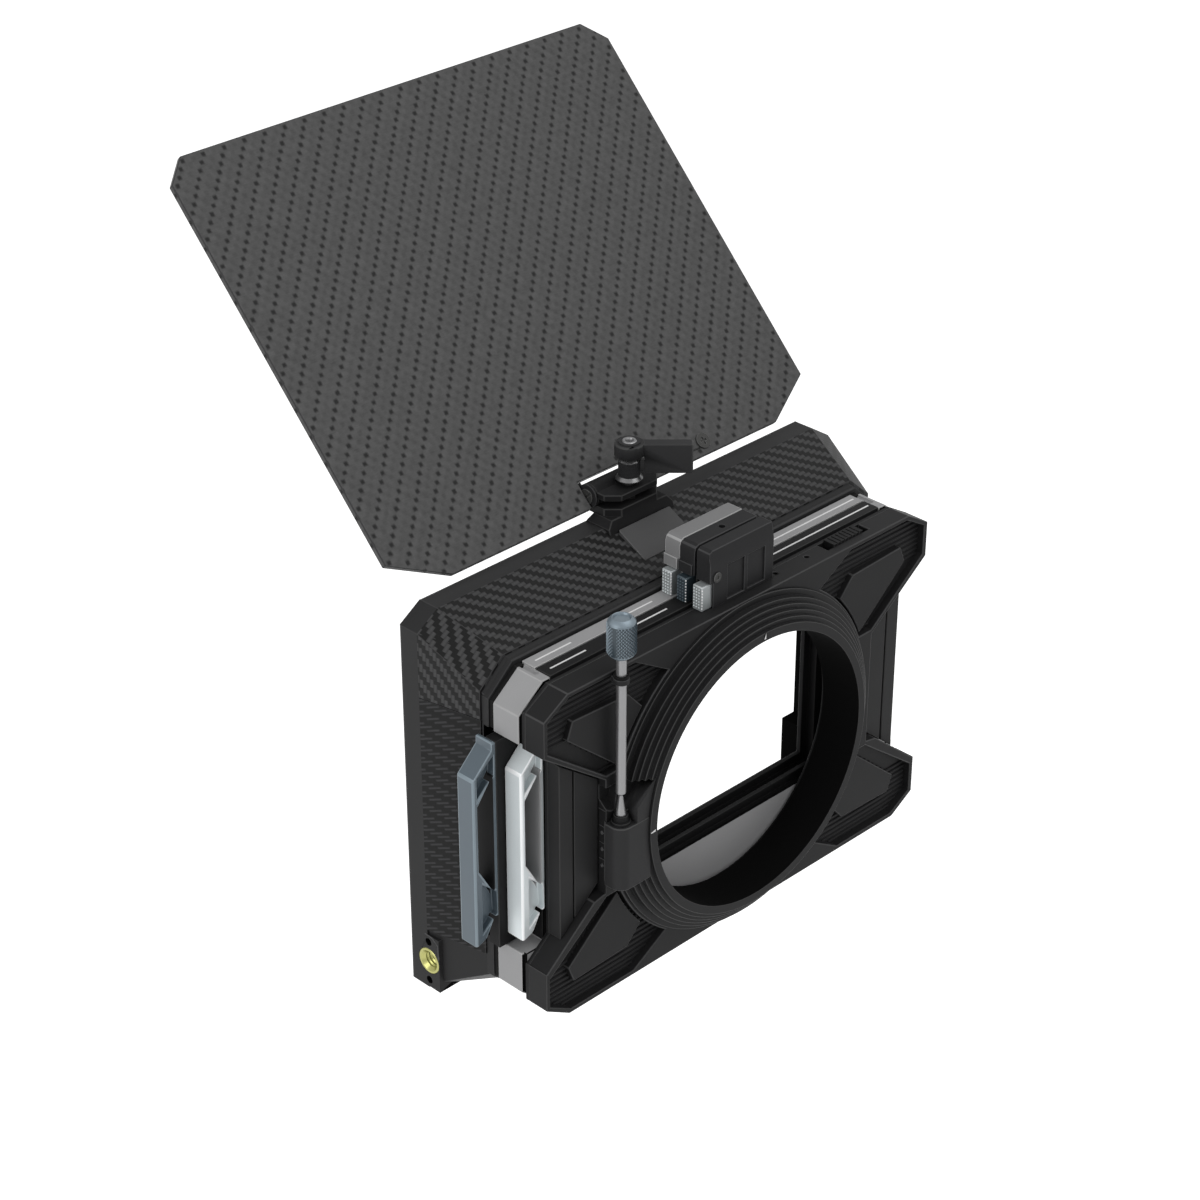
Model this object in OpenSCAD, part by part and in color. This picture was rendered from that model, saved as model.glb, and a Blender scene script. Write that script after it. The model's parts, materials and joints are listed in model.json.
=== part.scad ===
// Clip-on matte box with two side filter trays, a tilting top flag and a geared
// ring for a round filter. +X is the handle side, -Y the front, +Z up. The origin
// is the centre of the lens bore at the rear end of its ring.

/* [Stages] */
// Width of the filter stage and of the back plate
body_w = 176; // [172:1:184]
// Height of the filter stage and of the back plate
body_h = 118; // [118:1:126]
// Size of the chamfer across each corner, along X
corner_x = 10; // [6:1:13]
// Size of the chamfer across each corner, along Z
corner_z = 6; // [4:0.5:8]
// Width of the chamfer across the hood's two lower corners
low_corner_x = 16; // [12:1:20]
// Thickness of the back plate
plate_t = 8.2; // [7.6:0.2:10]
// Thickness of the thin layer in front of the back plate
layer_t = 1.3; // [1:0.1:2]
// Depth of the filter stage from front to back
stage_t = 12; // [11.8:0.2:14]
// Thickness of the rubber gasket between the stage and the hood
gasket_t = 2; // [1.6:0.2:3]
// Width of the clear opening through the stage
aperture_w = 130; // [110:2:134]
// Height of the clear opening through the stage
aperture_h = 67; // [60:1:68]

/* [Hood] */
// Length of the hood from its front rim to the gasket
hood_len = 33.5; // [30:0.5:60]
// Width of the front rim
rim_w = 187; // [184:1:200]
// Height of the front rim
rim_h = 142; // [138:1:150]
// Depth of the front rim band
rim_len = 8; // [6:0.5:12]
// Height of the hood at its rear flange
flange_h = 121; // [120:1:126]
// Depth of the rear flange border
flange_len = 5; // [4:0.5:7]
// Wall thickness of the hood
hood_wall = 2.6; // [2.2:0.1:3.4]
// Thickness of the carbon skins
skin_t = 0.8; // [0.4:0.1:1.2]
// Width of the opening in the rear wall of the hood
throat_w = 148; // [136:2:150]
// Height of the opening in the rear wall of the hood
throat_h = 102; // [90:2:108]

/* [Accessory boss] */
// Outer diameter of the brass insert
insert_d = 9.4; // [8.6:0.2:11]
// Diameter of the insert's threaded bore
thread_d = 6.35; // [5:0.05:7]
// Depth of the insert
insert_len = 8; // [6:0.5:9]
// Diameter of the two locating holes
dowel_d = 2.8; // [2:0.1:3.4]
// Spacing of the two locating holes
dowel_gap = 15; // [14:0.5:17]

/* [Flag] */
// Width of the top flag
flag_w = 187.4; // [170:1:200]
// Length of the top flag
flag_len = 151.8; // [110:1:180]
// Thickness of the top flag
flag_t = 2; // [1.2:0.1:2.6]
// Angle of the top flag above the horizontal
flag_tilt = 46; // [30:1:60]
// Width of the notch in the lower edge of the flag
notch_w = 27.2; // [27.2:0.2:30]
// Thickness of the flag bracket
bracket_t = 1.2; // [0.8:0.1:2]
// Reach of the flag bracket to the side away from the handles
bracket_left = 48; // [45:1:60]
// Reach of the flag bracket to the side of the handles
bracket_right = 16; // [14.4:0.2:24]
// Distance of the outer flag screw from the middle
screw_x = 40.4; // [38:0.2:42]
// Spacing of the two flag screws
screw_gap = 22.4; // [18:0.2:23]

/* [Flag clamp] */
// Length of the hinge barrel
barrel_len = 24; // [20:0.5:24]
// Diameter of the hinge barrel
barrel_d = 8; // [7.4:0.2:8.6]
// Diameter of the hinge pin
pin_d = 3.2; // [2.4:0.1:4]
// Width of the two jaws at the rear
jaw_w = 16; // [14:0.5:20]
// Thickness of the upper jaw
jaw_t = 2.1; // [1.6:0.1:2.6]
// Open gap between the jaws
jaw_gap = 2.7; // [1.6:0.1:3.2]
// Thickness of the lower jaw
lower_jaw_t = 3; // [2.4:0.1:4]
// Width of the foot at the hood
foot_w = 29; // [26:0.5:36]
// Diameter of the clamp stem
stem_d = 7.1; // [6.2:0.1:8]
// Height of the clamp stem above the upper jaw
stem_h = 7.4; // [6:0.2:10]
// Length of the lever from the stem's axis
lever_len = 20.2; // [15:0.2:26]
// Height of the lever arm
lever_h = 10; // [8:0.2:12]
// Thickness of the lever arm
lever_t = 4; // [3:0.2:6]
// Direction of the lever arm, seen from above
lever_turn = 135; // [100:5:170]

/* [Trays] */
// Height of each filter tray
tray_h = 76; // [72:1:76]
// Thickness of each filter tray
tray_t = 4.6; // [3:0.1:4.8]
// Width of each tray's frame past the clear opening
tray_edge = 6.8; // [4:0.2:8]
// Thickness of the two handles
handle_t = 7.3; // [5:0.1:7.3]
// Reach of a handle from its root to its outer face
handle_reach = 9.3; // [8:0.1:14]
// Height of the outer bar of a handle
handle_h = 61; // [56:1:62]
// Thickness of the outer bar of a handle
handle_bar = 1.9; // [1.5:0.1:3]
// How far the front tray stands pulled out
tray_out = 12.4; // [0:0.2:40]

/* [Lens ring] */
// Diameter of the clamp bore for the lens
bore_d = 95; // [90:0.5:95]
// Wall of the lens ring at its rear end
ring_wall = 3; // [2:0.1:3.6]
// Width of each step on the lens ring
step_w = 1.6; // [1.2:0.1:1.7]
// Height of the stepped ring behind the plate
ring_h = 8; // [7:0.5:10]
// Number of steps on the ring
ring_steps = 5; // [3:1:5]
// Outer diameter of the turning filter ring
filter_d = 114.4; // [114:0.1:114.6]
// Number of teeth on the filter ring
filter_teeth = 120; // [60:4:160]

/* [Adjusting rod] */
// Diameter of the adjusting rod
rod_d = 3.2; // [2.4:0.1:3.6]
// Distance of the rod's axis from the rim of the filter ring
rod_off = 1.4; // [1.4:0.1:2.2]
// Distance of the rod's axis behind the plate
rod_y = 3; // [3:0.1:3.4]
// Height of the knob's lower end above the lens axis
knob_z = 65; // [62:0.5:90]
// Diameter of the knob
knob_d = 9; // [7:0.2:11]
// Height of the knob
knob_h = 13.6; // [10:0.2:22]
// Diameter of the worm on the rod
worm_d = 6.4; // [5.8:0.1:6.4]
// Outer diameter of the gear housing's round end
housing_d = 8.2; // [8:0.1:9.2]
// Height of the gear housing
housing_h = 23; // [20:0.5:26]
// Height of the gear housing's centre, from the lens axis
housing_z = -6; // [-8:0.5:-4]

/* [Top locks] */
// Width of the lock blocks
lock_w = 29.4; // [26:0.2:34]
// Height of the lock blocks above the stage
lock_h = 19.4; // [16:0.2:24]
// Depth of each of the two front lock blocks
lock_d = 6.2; // [5:0.1:6.2]
// Height of the three release buttons
button_h = 8.6; // [6:0.2:9]
// Travel of a release button
button_travel = 2; // [1:0.1:2.4]
// Length of the release slide on the top edge
catch_len = 14; // [10:0.5:17]
// Length of the two label strips on the top
strip_w = 150; // [140:1:151]

/* [Hidden] */
$fn = 64;

// Clearances
fit = 0.05;
gap = 0.2;
touch = 0.3;

// Half sizes of the stages and planes along the depth, from the plate's rear face
bw = body_w / 2;
bh = body_h / 2;
y_layer = -plate_t;
y_stage = y_layer - layer_t;
y_gasket = y_stage - stage_t;
y_hood = y_gasket - gasket_t;
y_rim = y_hood - hood_len + rim_len;
y_front = y_hood - hood_len;
rim_x = rim_w / 2;
rim_z = rim_h / 2;
fl_z = flange_h / 2;
hood_slope = (rim_z - fl_z) / (y_hood - y_rim);
// Height of the chamfer across the rim's lower corners
low_rim_z = 4.4;
// Block of the accessory insert
boss_len = 13.2;
boss_top = -46;
boss_y = y_front + 8.3;
boss_z = -rim_z + 14.9;
function hood_top(y) = y < y_rim ? rim_z : fl_z + (y_hood - y) * hood_slope;

// Side recess of the stage, between the corner blocks
recess_top = 41;
recess_bottom = -36;
tray_mid = (recess_top + recess_bottom) / 2;
recess_x = bw - 9;
slot_h = min(tray_h + 2 * gap, recess_top - recess_bottom);
rear_slot_y = y_stage - 1.2;
slot_t = 5;
front_slot_y = rear_slot_y - slot_t - 1.3;
rear_tray_y = rear_slot_y - slot_t / 2;
front_tray_y = front_slot_y - slot_t / 2;
root_t = 1.4;
root_x = recess_x + gap;
far_x = -aperture_w / 2 - tray_edge;
rear_handle_y = y_stage - gap - handle_t / 2;
front_handle_y = rear_handle_y - handle_t - 2 * gap;
reach = root_x + handle_reach;

// Hinge of the flag, above the front rim
hinge_y = y_front - 0.4;
hinge_z = rim_z + 7.9;
jaw_y = y_front + 10.1;
stem_y = jaw_y - 4.7;
lower_top = hinge_z - jaw_gap + 0.1;
upper_z = lower_top + jaw_gap;
upper_top = upper_z + jaw_t;
lower_z = lower_top - lower_jaw_t;
hub_z = upper_top + stem_h;
hub_h = 7;
edge_in = 4.3;
notch_in = 9.6;
ear_t = 0.7;
screw_up = 0.4;
screw_xs = [-screw_x, -screw_x + screw_gap];
flag_screw_d = 2.5;
flag_bore_d = 3;

// Parts of the lens ring
pocket_r = filter_d / 2 + 0.1;
disc_r = pocket_r + 1.7;
filter_y = -0.4;
filter_t = 6;
filter_in = 49.5;
disc_t = 0.8;
tick_w = 0.8;
tick_t = 0.2;
foot_h = 3;
step_h = (ring_h - foot_h) / (ring_steps - 1);
ring_end_r = bore_d / 2 + ring_wall;
rod_x = filter_d / 2 + rod_off;
housing_top = housing_z + housing_h / 2;
housing_bottom = housing_z - housing_h / 2;
cap_h = 1.1;
seal_h = 2.3;
cone_z = housing_top + cap_h + seal_h;
cone_h = 6.7;
neck_r = 0.65;
guide_top = bh - 0.3;
guide_h = 1.8;
washer_h = 1;
funnel_floor = -3.2;

// Side recess and corner pockets of the back plate
recess_in = disc_r + 3;
panel_in = recess_in + 0.6;
recess_high = 21;
recess_low = -22;
wall_face = y_layer + 5.2;
groove_x = recess_x - 5.6;
// Edges of the side recess, as heights over X
function recess_edge(x) =
    recess_high + (x - recess_in) * (recess_top - 1 - recess_high) / (bw - 0.3 - recess_in);
function low_edge(x) =
    recess_low + (x - recess_in - 5) * (recess_bottom - 3 - recess_low) / (bw - 5.5 - recess_in);
pocket_deep = 3;
pocket_edge = 1.5;
island_in = 0.6;
// Screws through the corner blocks
block_x = bw - 6;
block_z = 48;
screw_head_r = 2.2;
screw_head_t = 2;
screw_r = 1.3;
screw_len = 15.8;

// Parts of the top locks
lock_x = lock_w / 2;
strip_t = 1.5;
strip_top = bh + 0.4;
front_strip_y = y_stage - 10.6;
rear_strip_y = y_stage - 4.2;
strip_d = 5.6;
rear_strip_d = 6.2;
lock_front_y = y_stage - 10.8;
lock_middle_y = lock_front_y + lock_d + 0.1;
lock_rear_y = -7;
lock_rear_d = 6;
lock_top = strip_top + lock_h;
// The blocks end short of the buttons, which stand out of a notch
lock_end = lock_x - 2;
latch_h = 4.2;
button_len = 6.4;
button_d = 4;
button_back = 0.8;
notch_x = lock_end - 1.4;
// Pockets, bevel and screw in the rear face of the rear block
lock_pockets = [[-12.2, -4.4], [-2.8, 4.8]];
lock_pocket_top = 13;
bevel_h = 5;
bevel_d = 1.1;
lock_screw_x = 9.8;
lock_screw_z = 10.6;
catch_x = -52;
catch_y = -5.8;
slot_half = 10;

// Puts a drawing made from the plate's rear face into the part's own frame
module placed() { translate([0, -ring_h, 0]) children(); }
// Extrudes an outline drawn in X and Z from y towards the front
module front_to(y, t) { translate([0, y, 0]) rotate([90, 0, 0]) linear_extrude(t) children(); }
// A box from its lowest to its highest corner
module span(a, b) { translate(a) cube([b[0] - a[0], b[1] - a[1], b[2] - a[2]]); }
// A cylinder along Y from y towards the front
module rod_y_at(x, y, z, r, h) { translate([x, y, z]) rotate([90, 0, 0]) cylinder(r = r, h = h); }
// A cylinder along X from x towards +X
module rod_x_at(x, y, z, r, h) { translate([x, y, z]) rotate([0, 90, 0]) cylinder(r = r, h = h); }
// An outline with four cut corners
module cut_rect(hw, hh, cx, cz) {
    polygon([[-hw + cx, -hh], [hw - cx, -hh], [hw, -hh + cz], [hw, hh - cz],
        [hw - cx, hh], [-hw + cx, hh], [-hw, hh - cz], [-hw, -hh + cz]]);
}
// The hood's outline, with wider chamfers at its lower corners
module hood_outline(hw, hh, cx, cz, low_cx, low_cz) {
    polygon([[-hw + low_cx, -hh], [hw - low_cx, -hh], [hw, -hh + low_cz], [hw, hh - cz],
        [hw - cx, hh], [-hw + cx, hh], [-hw, hh - cz], [-hw, -hh + low_cz]]);
}
module both_sides() { children(); mirror([1, 0, 0]) children(); }

// Hood
module hood_solid(g) {
    hull() {
        front_to(y_rim + 0.01, 0.01)
            hood_outline(rim_x + g, rim_z + g, corner_x - 1.5, corner_z - 0.5, low_corner_x - 1.5, low_rim_z);
        front_to(y_hood, 0.01)
            hood_outline(bw + 0.4 + g, fl_z + g, corner_x, corner_z + 3, low_corner_x, corner_z + 3);
    }
}
// Block behind the rim that holds the threaded insert
module hood_boss() {
    span([rim_x - 10.5, y_front + 1, -rim_z + low_rim_z + gap], [rim_x, y_front + boss_len, boss_top]);
}
module hood_shell() {
    color("#2b2b2d") placed() difference() {
        union() {
            difference() {
                union() {
                    hood_solid(-skin_t);
                    front_to(y_hood, flange_len - 2) cut_rect(bw + 0.4, fl_z, corner_x, corner_z + 3);
                    front_to(y_rim + 0.01, rim_len + 0.01)
                        hood_outline(rim_x, rim_z, corner_x - 1.5, corner_z - 0.5, corner_x - 1.5, low_rim_z);
                }
                intersection() {
                    hood_solid(-skin_t - hood_wall);
                    span([-rim_w, y_rim, -rim_h], [rim_w, y_hood - 4, rim_h]);
                }
                front_to(y_rim + 0.01, rim_len + 1) cut_rect(rim_x - hood_wall - skin_t,
                    rim_z - hood_wall - skin_t, corner_x - 1.5, corner_z - 0.5);
                front_to(y_hood + 1, 10) square([throat_w, throat_h], center = true);
            }
            both_sides() hood_boss();
        }
        // Finger room for the front handle
        both_sides()
            span([recess_x, y_hood - 2.4, recess_bottom - 0.5], [bw + 2, y_hood + 1, recess_top + 0.5]);
        // Bores of the accessory bosses
        both_sides() {
            rod_x_at(rim_x - insert_len, boss_y, boss_z, insert_d / 2, insert_len + 1);
            for (s = [-1, 1])
                rod_x_at(rim_x - 5, boss_y, boss_z + s * dowel_gap / 2, dowel_d / 2, 6);
        }
    }
}
module hood_skin() {
    difference() {
        hood_solid(0);
        hood_solid(-skin_t);
        span([-rim_w, y_hood - flange_len + 2, -rim_h], [rim_w, plate_t, rim_h]);
    }
}
module hood_skin_top() {
    color("#48484b") placed() intersection() {
        hood_skin();
        span([-rim_w, y_rim - 1, recess_top + 2], [rim_w, y_hood, rim_h]);
    }
}
module hood_skin_bottom() {
    color("#48484b") placed() intersection() {
        hood_skin();
        span([-bw + low_corner_x, y_rim, -rim_z], [bw - low_corner_x, y_hood, -fl_z / 2]);
    }
}
module side_skin() {
    intersection() {
        hood_skin();
        span([bw / 2, y_rim - 1, recess_bottom - 8], [rim_w, y_hood, recess_top + 1.8]);
    }
}
module hood_skin_left() { color("#3c3c3f") placed() side_skin(); }
module hood_skin_right() { color("#3c3c3f") placed() mirror([1, 0, 0]) side_skin(); }
module hood_gasket() {
    color("#161617") placed() difference() {
        front_to(y_gasket, gasket_t) cut_rect(bw, bh, corner_x, corner_z + 2);
        front_to(y_gasket + 1, gasket_t + 2) cut_rect(bw - 8, bh - 5, corner_x - 2, corner_z);
        both_sides() span([recess_x - 1, y_gasket - 9, recess_bottom - 0.5],
            [bw + 2, y_gasket + 9, recess_top + 0.5]);
        span([-strip_w / 2 - touch, y_gasket - 9, bh - strip_t - touch],
            [strip_w / 2 + touch, y_gasket + 9, bh + 9]);
    }
}
module boss_inserts() {
    color("#b8913f") placed() both_sides() difference() {
        rod_x_at(rim_x - insert_len, boss_y, boss_z, insert_d / 2, insert_len);
        rod_x_at(rim_x - insert_len - 1, boss_y, boss_z, thread_d / 2, insert_len + 2);
    }
}

// Flag clamp on the hood
module barrel(h = barrel_len) { rod_x_at(-h / 2, hinge_y, hinge_z, barrel_d / 2, h); }
module jaw_plan() {
    polygon([[-barrel_len / 2, hinge_y], [barrel_len / 2, hinge_y], [barrel_len / 2, jaw_y - 4],
        [jaw_w / 2, jaw_y], [-jaw_w / 2, jaw_y], [-barrel_len / 2, jaw_y - 4]]);
}
module flag_foot() {
    color("#2e2e30") placed() difference() {
        union() {
            intersection() {
                barrel();
                span([-50, hinge_y - 20, 0], [50, hinge_y + 20, lower_top]);
            }
            translate([0, 0, lower_z]) linear_extrude(lower_jaw_t) jaw_plan();
            // Foot between the hood and the lower jaw
            intersection() {
                translate([-foot_w / 2, 0, 0]) rotate([90, 0, 90]) linear_extrude(foot_w)
                    polygon([[y_front + 0.5, rim_z], [y_rim + 0.01, rim_z],
                        [jaw_y + 1.6, hood_top(jaw_y + 1.6) + 0.01],
                        [jaw_y, lower_z + 0.5], [y_front + 2, lower_z + 0.5]]);
                translate([0, 20, 0]) rotate([90, 0, 0]) linear_extrude(120)
                    polygon([[-foot_w / 2, 0], [foot_w / 2, 0], [foot_w / 2, rim_z + 0.4],
                        [jaw_w / 2, hinge_z], [-jaw_w / 2, hinge_z], [-foot_w / 2, rim_z + 0.4]]);
            }
        }
        rod_x_at(-50, hinge_y, hinge_z, pin_d / 2 + fit, 100);
        translate([0, stem_y, rim_z + 0.6]) cylinder(d = 4 + 2 * fit, h = 30);
    }
}
module foot_panel() {
    panel_w = foot_w - 6;
    color("#57585b") placed() translate([-panel_w / 2, 0, 0]) rotate([90, 0, 90]) linear_extrude(panel_w)
        polygon([[jaw_y + 1.7, hood_top(jaw_y + 1.7) + 0.02], [jaw_y + 13.7, hood_top(jaw_y + 13.7) + 0.02],
            [jaw_y + 13.7, hood_top(jaw_y + 13.7) + 0.4], [jaw_y + 1.7, hood_top(jaw_y + 1.7) + 1.8]]);
}
module upper_jaw() {
    color("#303032") placed() difference() {
        union() {
            intersection() {
                barrel();
                span([-50, hinge_y - 20, lower_top + 0.02], [50, hinge_y + 20, hinge_z + 20]);
            }
            translate([0, 0, upper_z]) linear_extrude(jaw_t) jaw_plan();
        }
        rod_x_at(-50, hinge_y, hinge_z, pin_d / 2 + fit, 100);
        translate([0, stem_y, 0]) cylinder(d = 4 + 2 * fit, h = 200);
        translate([0, stem_y, upper_top]) cylinder(d = stem_d + 1.2 + 2 * gap, h = 20);
    }
}
module clamp_stem() {
    color("#3a3b3e") placed() translate([0, stem_y, 0]) {
        translate([0, 0, rim_z + 1]) cylinder(d = 4, h = upper_top - rim_z);
        translate([0, 0, upper_top]) cylinder(d = stem_d + 1.2, h = 1.4);
        translate([0, 0, upper_top]) cylinder(d = stem_d, h = stem_h);
        translate([0, 0, hub_z - 1]) cylinder(d = 5, h = hub_h + 0.6);
    }
}
module clamp_lever() {
    color("#2c2c2e") placed() translate([0, stem_y, 0]) difference() {
        union() {
            translate([0, 0, hub_z + fit]) cylinder(d = 9.6, h = hub_h);
            rotate([0, 0, lever_turn]) translate([3, -lever_t / 2, hub_z + hub_h - lever_h])
                cube([lever_len - 3, lever_t, lever_h]);
        }
        translate([0, 0, hub_z - 20]) cylinder(d = 5 + 2 * fit, h = 60);
        translate([0, 0, hub_z - 20]) cylinder(d = stem_d + 2.6, h = 20);
    }
}
module lever_screw() {
    color("#55575b") placed() translate([0, stem_y, hub_z + hub_h - 0.4]) difference() {
        union() {
            cylinder(d = 4.6, h = 0.01 + fit);
            translate([0, 0, 0.4 + fit]) cylinder(d = 7, h = 0.8);
            cylinder(d = 4.6, h = 0.5);
        }
        translate([0, 0, 0.6]) cylinder(d = 2.5, h = 3, $fn = 6);
    }
}

// Flag, drawn flat with its hinge axis on the X axis and then tilted
module tilted() {
    placed() translate([0, hinge_y, hinge_z]) rotate([180 - flag_tilt, 0, 0]) children();
}
module flag_plate() {
    color("#454548") tilted() difference() {
        linear_extrude(flag_t) polygon([[-flag_w / 2 + 20.7, -edge_in], [flag_w / 2 - 20.7, -edge_in],
            [flag_w / 2, -edge_in + 11.1], [flag_w / 2, flag_len - edge_in - 8],
            [flag_w / 2 - 8, flag_len - edge_in], [-flag_w / 2 + 8, flag_len - edge_in],
            [-flag_w / 2, flag_len - edge_in - 8], [-flag_w / 2, -edge_in + 11.1]]);
        translate([-notch_w / 2, -50, -1]) cube([notch_w, 50 + notch_in - edge_in, flag_t + 2]);
        for (x = screw_xs) translate([x, screw_up, -1]) cylinder(d = flag_bore_d, h = flag_t + 2);
    }
}
module flag_bracket() {
    color("#2a2a2c") tilted() difference() {
        union() {
            difference() {
                translate([-bracket_left, -edge_in + 0.8, flag_t])
                    cube([bracket_left + bracket_right, 17, bracket_t]);
                translate([-notch_w / 2, -50, 0]) cube([notch_w, 50 + notch_in - edge_in, 20]);
            }
            for (s = [-1, 1]) translate([s * (barrel_len / 2 + gap + ear_t / 2), 0, 0]) rotate([0, 90, 0])
                translate([0, 0, -ear_t / 2]) linear_extrude(ear_t) {
                    circle(d = barrel_d);
                    translate([-flag_t - bracket_t, 0])
                        square([flag_t + bracket_t - 0.4, notch_in - edge_in - touch]);
                    translate([-flag_t - bracket_t, 0]) square([bracket_t, notch_in - edge_in + 1]);
                }
        }
        rod_x_at(-50, 0, 0, pin_d / 2, 100);
        for (x = screw_xs) translate([x, screw_up, flag_t - 1]) cylinder(d = flag_screw_d, h = bracket_t + 2);
    }
}
module hinge_pin() {
    pin_half = barrel_len / 2 + gap + ear_t;
    color("#8d9094") tilted() difference() {
        union() {
            rod_x_at(-pin_half, 0, 0, pin_d / 2, 2 * pin_half);
            both_sides() rod_x_at(pin_half, 0, 0, pin_d / 2 + 0.9, 0.5);
        }
        both_sides() translate([pin_half + 0.2, -0.4, -3]) cube([2, 0.8, 6]);
    }
}
module flag_screws() {
    color("#4a4c50") tilted() for (x = screw_xs) translate([x, screw_up, 0]) difference() {
        union() {
            translate([0, 0, -0.7]) cylinder(d = 5.4, h = 0.7);
            translate([0, 0, -0.1]) cylinder(d = flag_screw_d, h = flag_t + bracket_t + 0.1);
        }
        for (a = [0, 90]) rotate([0, 0, a]) translate([-1.3, -0.35, -1]) cube([2.6, 0.7, 0.7]);
    }
}

// Filter stage
module filter_frame() {
    color("#9a9a9c") placed() difference() {
        union() {
            front_to(y_stage - 1, stage_t - 1) cut_rect(bw + 0.4, bh, corner_x, corner_z + 2);
            front_to(y_stage, 1.01) cut_rect(bw - 0.6, bh - 0.9, corner_x, corner_z + 2);
            front_to(y_gasket + 0.01, gasket_t - touch) cut_rect(bw - 8.3, bh - 5.3, corner_x - 2, corner_z);
        }
        // Light path
        translate([0, 0, tray_mid]) front_to(y_stage + 1, 40) square([aperture_w, aperture_h], center = true);
        // Tray slots, open on the handle side
        for (y = [rear_slot_y, front_slot_y])
            span([far_x - 1, y - slot_t, tray_mid - slot_h / 2], [body_w, y, tray_mid + slot_h / 2]);
        // Side recesses between the corner blocks
        both_sides() span([recess_x, y_gasket - 9, recess_bottom], [body_w, 0, recess_top]);
        // Seat of the label strips
        span([-strip_w / 2 - 0.1, front_strip_y - strip_d - 9, bh - strip_t],
            [strip_w / 2 + 0.1, y_stage + 1, bh + 9]);
        for (m = [0, 1], n = [0, 1]) mirror([m, 0, 0]) mirror([0, 0, n]) {
            rod_y_at(block_x, y_stage + 1, block_z, screw_r + fit, stage_t + 2);
            rod_y_at(block_x, y_gasket + screw_head_t + 0.1, block_z, screw_head_r + 0.1, 9);
        }
        // Round step at each end of the strips
        both_sides() rod_y_at(strip_w / 2 + 1.4, y_stage - 5, bh, 1, 60);
    }
}
module strip(y, d) { span([-strip_w / 2, y - d / 2, bh - strip_t], [strip_w / 2, y + d / 2, strip_top]); }
module front_strip() {
    color("#9a9a9c") placed() difference() {
        strip(front_strip_y, strip_d);
        line_cuts(front_strip_y);
    }
}
module rear_strip() {
    color("#2b2b2d") placed() difference() {
        strip(rear_strip_y, rear_strip_d);
        line_cuts(rear_strip_y);
    }
}
// The three stretches of white index line on each strip, as shares of its length
line_ends = [[0.76, 0.96], [0.29, 0.47], [-0.98, -0.33]];
line_w = 0.6;
module line_cuts(y, d = 0.2) {
    for (e = line_ends)
        span([e[0] * strip_w / 2, y - line_w / 2, strip_top - d],
            [e[1] * strip_w / 2, y + line_w / 2, strip_top + 1]);
}
module index_lines() {
    color("white") placed() for (y = [front_strip_y, rear_strip_y], e = line_ends)
        span([e[0] * strip_w / 2, y - line_w / 2, strip_top - 0.2],
            [e[1] * strip_w / 2, y + line_w / 2, strip_top]);
}
module tray(y) {
    difference() {
        span([far_x, y - tray_t / 2, tray_mid - tray_h / 2], [root_x, y + tray_t / 2, tray_mid + tray_h / 2]);
        span([-aperture_w / 2 + 1, y - 9, tray_mid - aperture_h / 2 + 1],
            [aperture_w / 2 - 1, y + 9, tray_mid + aperture_h / 2 - 1]);
        // Rebate for the glass
        span([-aperture_w / 2 - 2, y + tray_t / 2 - 3, tray_mid - aperture_h / 2 - 2],
            [aperture_w / 2 + 2, y + 9, tray_mid + aperture_h / 2 + 2]);
    }
}
module handle_outline() {
    h = handle_h / 2;
    difference() {
        polygon([[root_x, recess_top - 0.4], [root_x + root_t, recess_top - 0.4], [root_x + root_t, h + 7.5],
            [reach, h - 0.2], [reach, -h - 0.2], [reach - 0.5, -h - 0.5], [reach - 4.4, -h + 1],
            [root_x + root_t, -h + 7.5], [root_x, -h + 7.5]]);
        polygon([[root_x + root_t, h - 1.5], [reach - handle_bar, h - 9.6], [reach - handle_bar, -h + 27],
            [root_x + root_t, -h + 16.5]]);
    }
}
module handle(y) {
    h = handle_h / 2;
    difference() {
        front_to(y + handle_t / 2, handle_t) handle_outline();
        // Shallow pockets in the rear face of both legs
        front_to(y + handle_t / 2 + 1, 3.5) polygon([[reach - 1.9, h - 7.5], [reach - 8.5, h - 1.3],
            [reach - 8.6, h + 5.5], [reach - 1.9, h + 0.5]]);
        front_to(y + handle_t / 2 + 1, 3.5) polygon([[reach - 2.9, -h + 21.8], [reach - 8.8, -h + 16.7],
            [reach - 9.1, -h + 8.3], [reach - 2.9, -h + 3.3]]);
    }
}
module front_tray() { color("#242426") placed() translate([tray_out, 0, 0]) tray(front_tray_y); }
module front_handle() { color("#5f6c76") placed() translate([tray_out, 0, 0]) handle(front_handle_y); }
module rear_tray() { color("#242426") placed() tray(rear_tray_y); }
module rear_handle() { color("#b2b8bb") placed() handle(rear_handle_y); }

// Back plate and lens ring
// The wedge that opens the side recess from outside in to x
module recess_cut(x) {
    x_turn = max(x, recess_in + 5);
    polygon([[bw + 1, recess_top], [bw - 0.3, recess_top - 1], [x, recess_edge(x)],
        [x, min(-recess_high, low_edge(x))], [x_turn, low_edge(x_turn)],
        [bw - 0.5, recess_bottom - 3], [bw + 1, recess_bottom - 3]]);
}
module front_layer() {
    color("#1d1d1f") placed() difference() {
        front_to(y_layer, layer_t) difference() {
            cut_rect(bw, bh, corner_x, corner_z);
            both_sides() recess_cut(recess_x);
        }
        rod_y_at(0, y_layer + 1, 0, bore_d / 2 + 1.5, layer_t + 2);
        for (m = [0, 1], n = [0, 1]) mirror([m, 0, 0]) mirror([0, 0, n])
            rod_y_at(block_x, y_layer + 1, block_z, screw_r + fit, layer_t + 2);
    }
}
module plate_outline() {
    difference() {
        cut_rect(bw, bh, corner_x, corner_z);
        both_sides() recess_cut(recess_in);
    }
}
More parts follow.
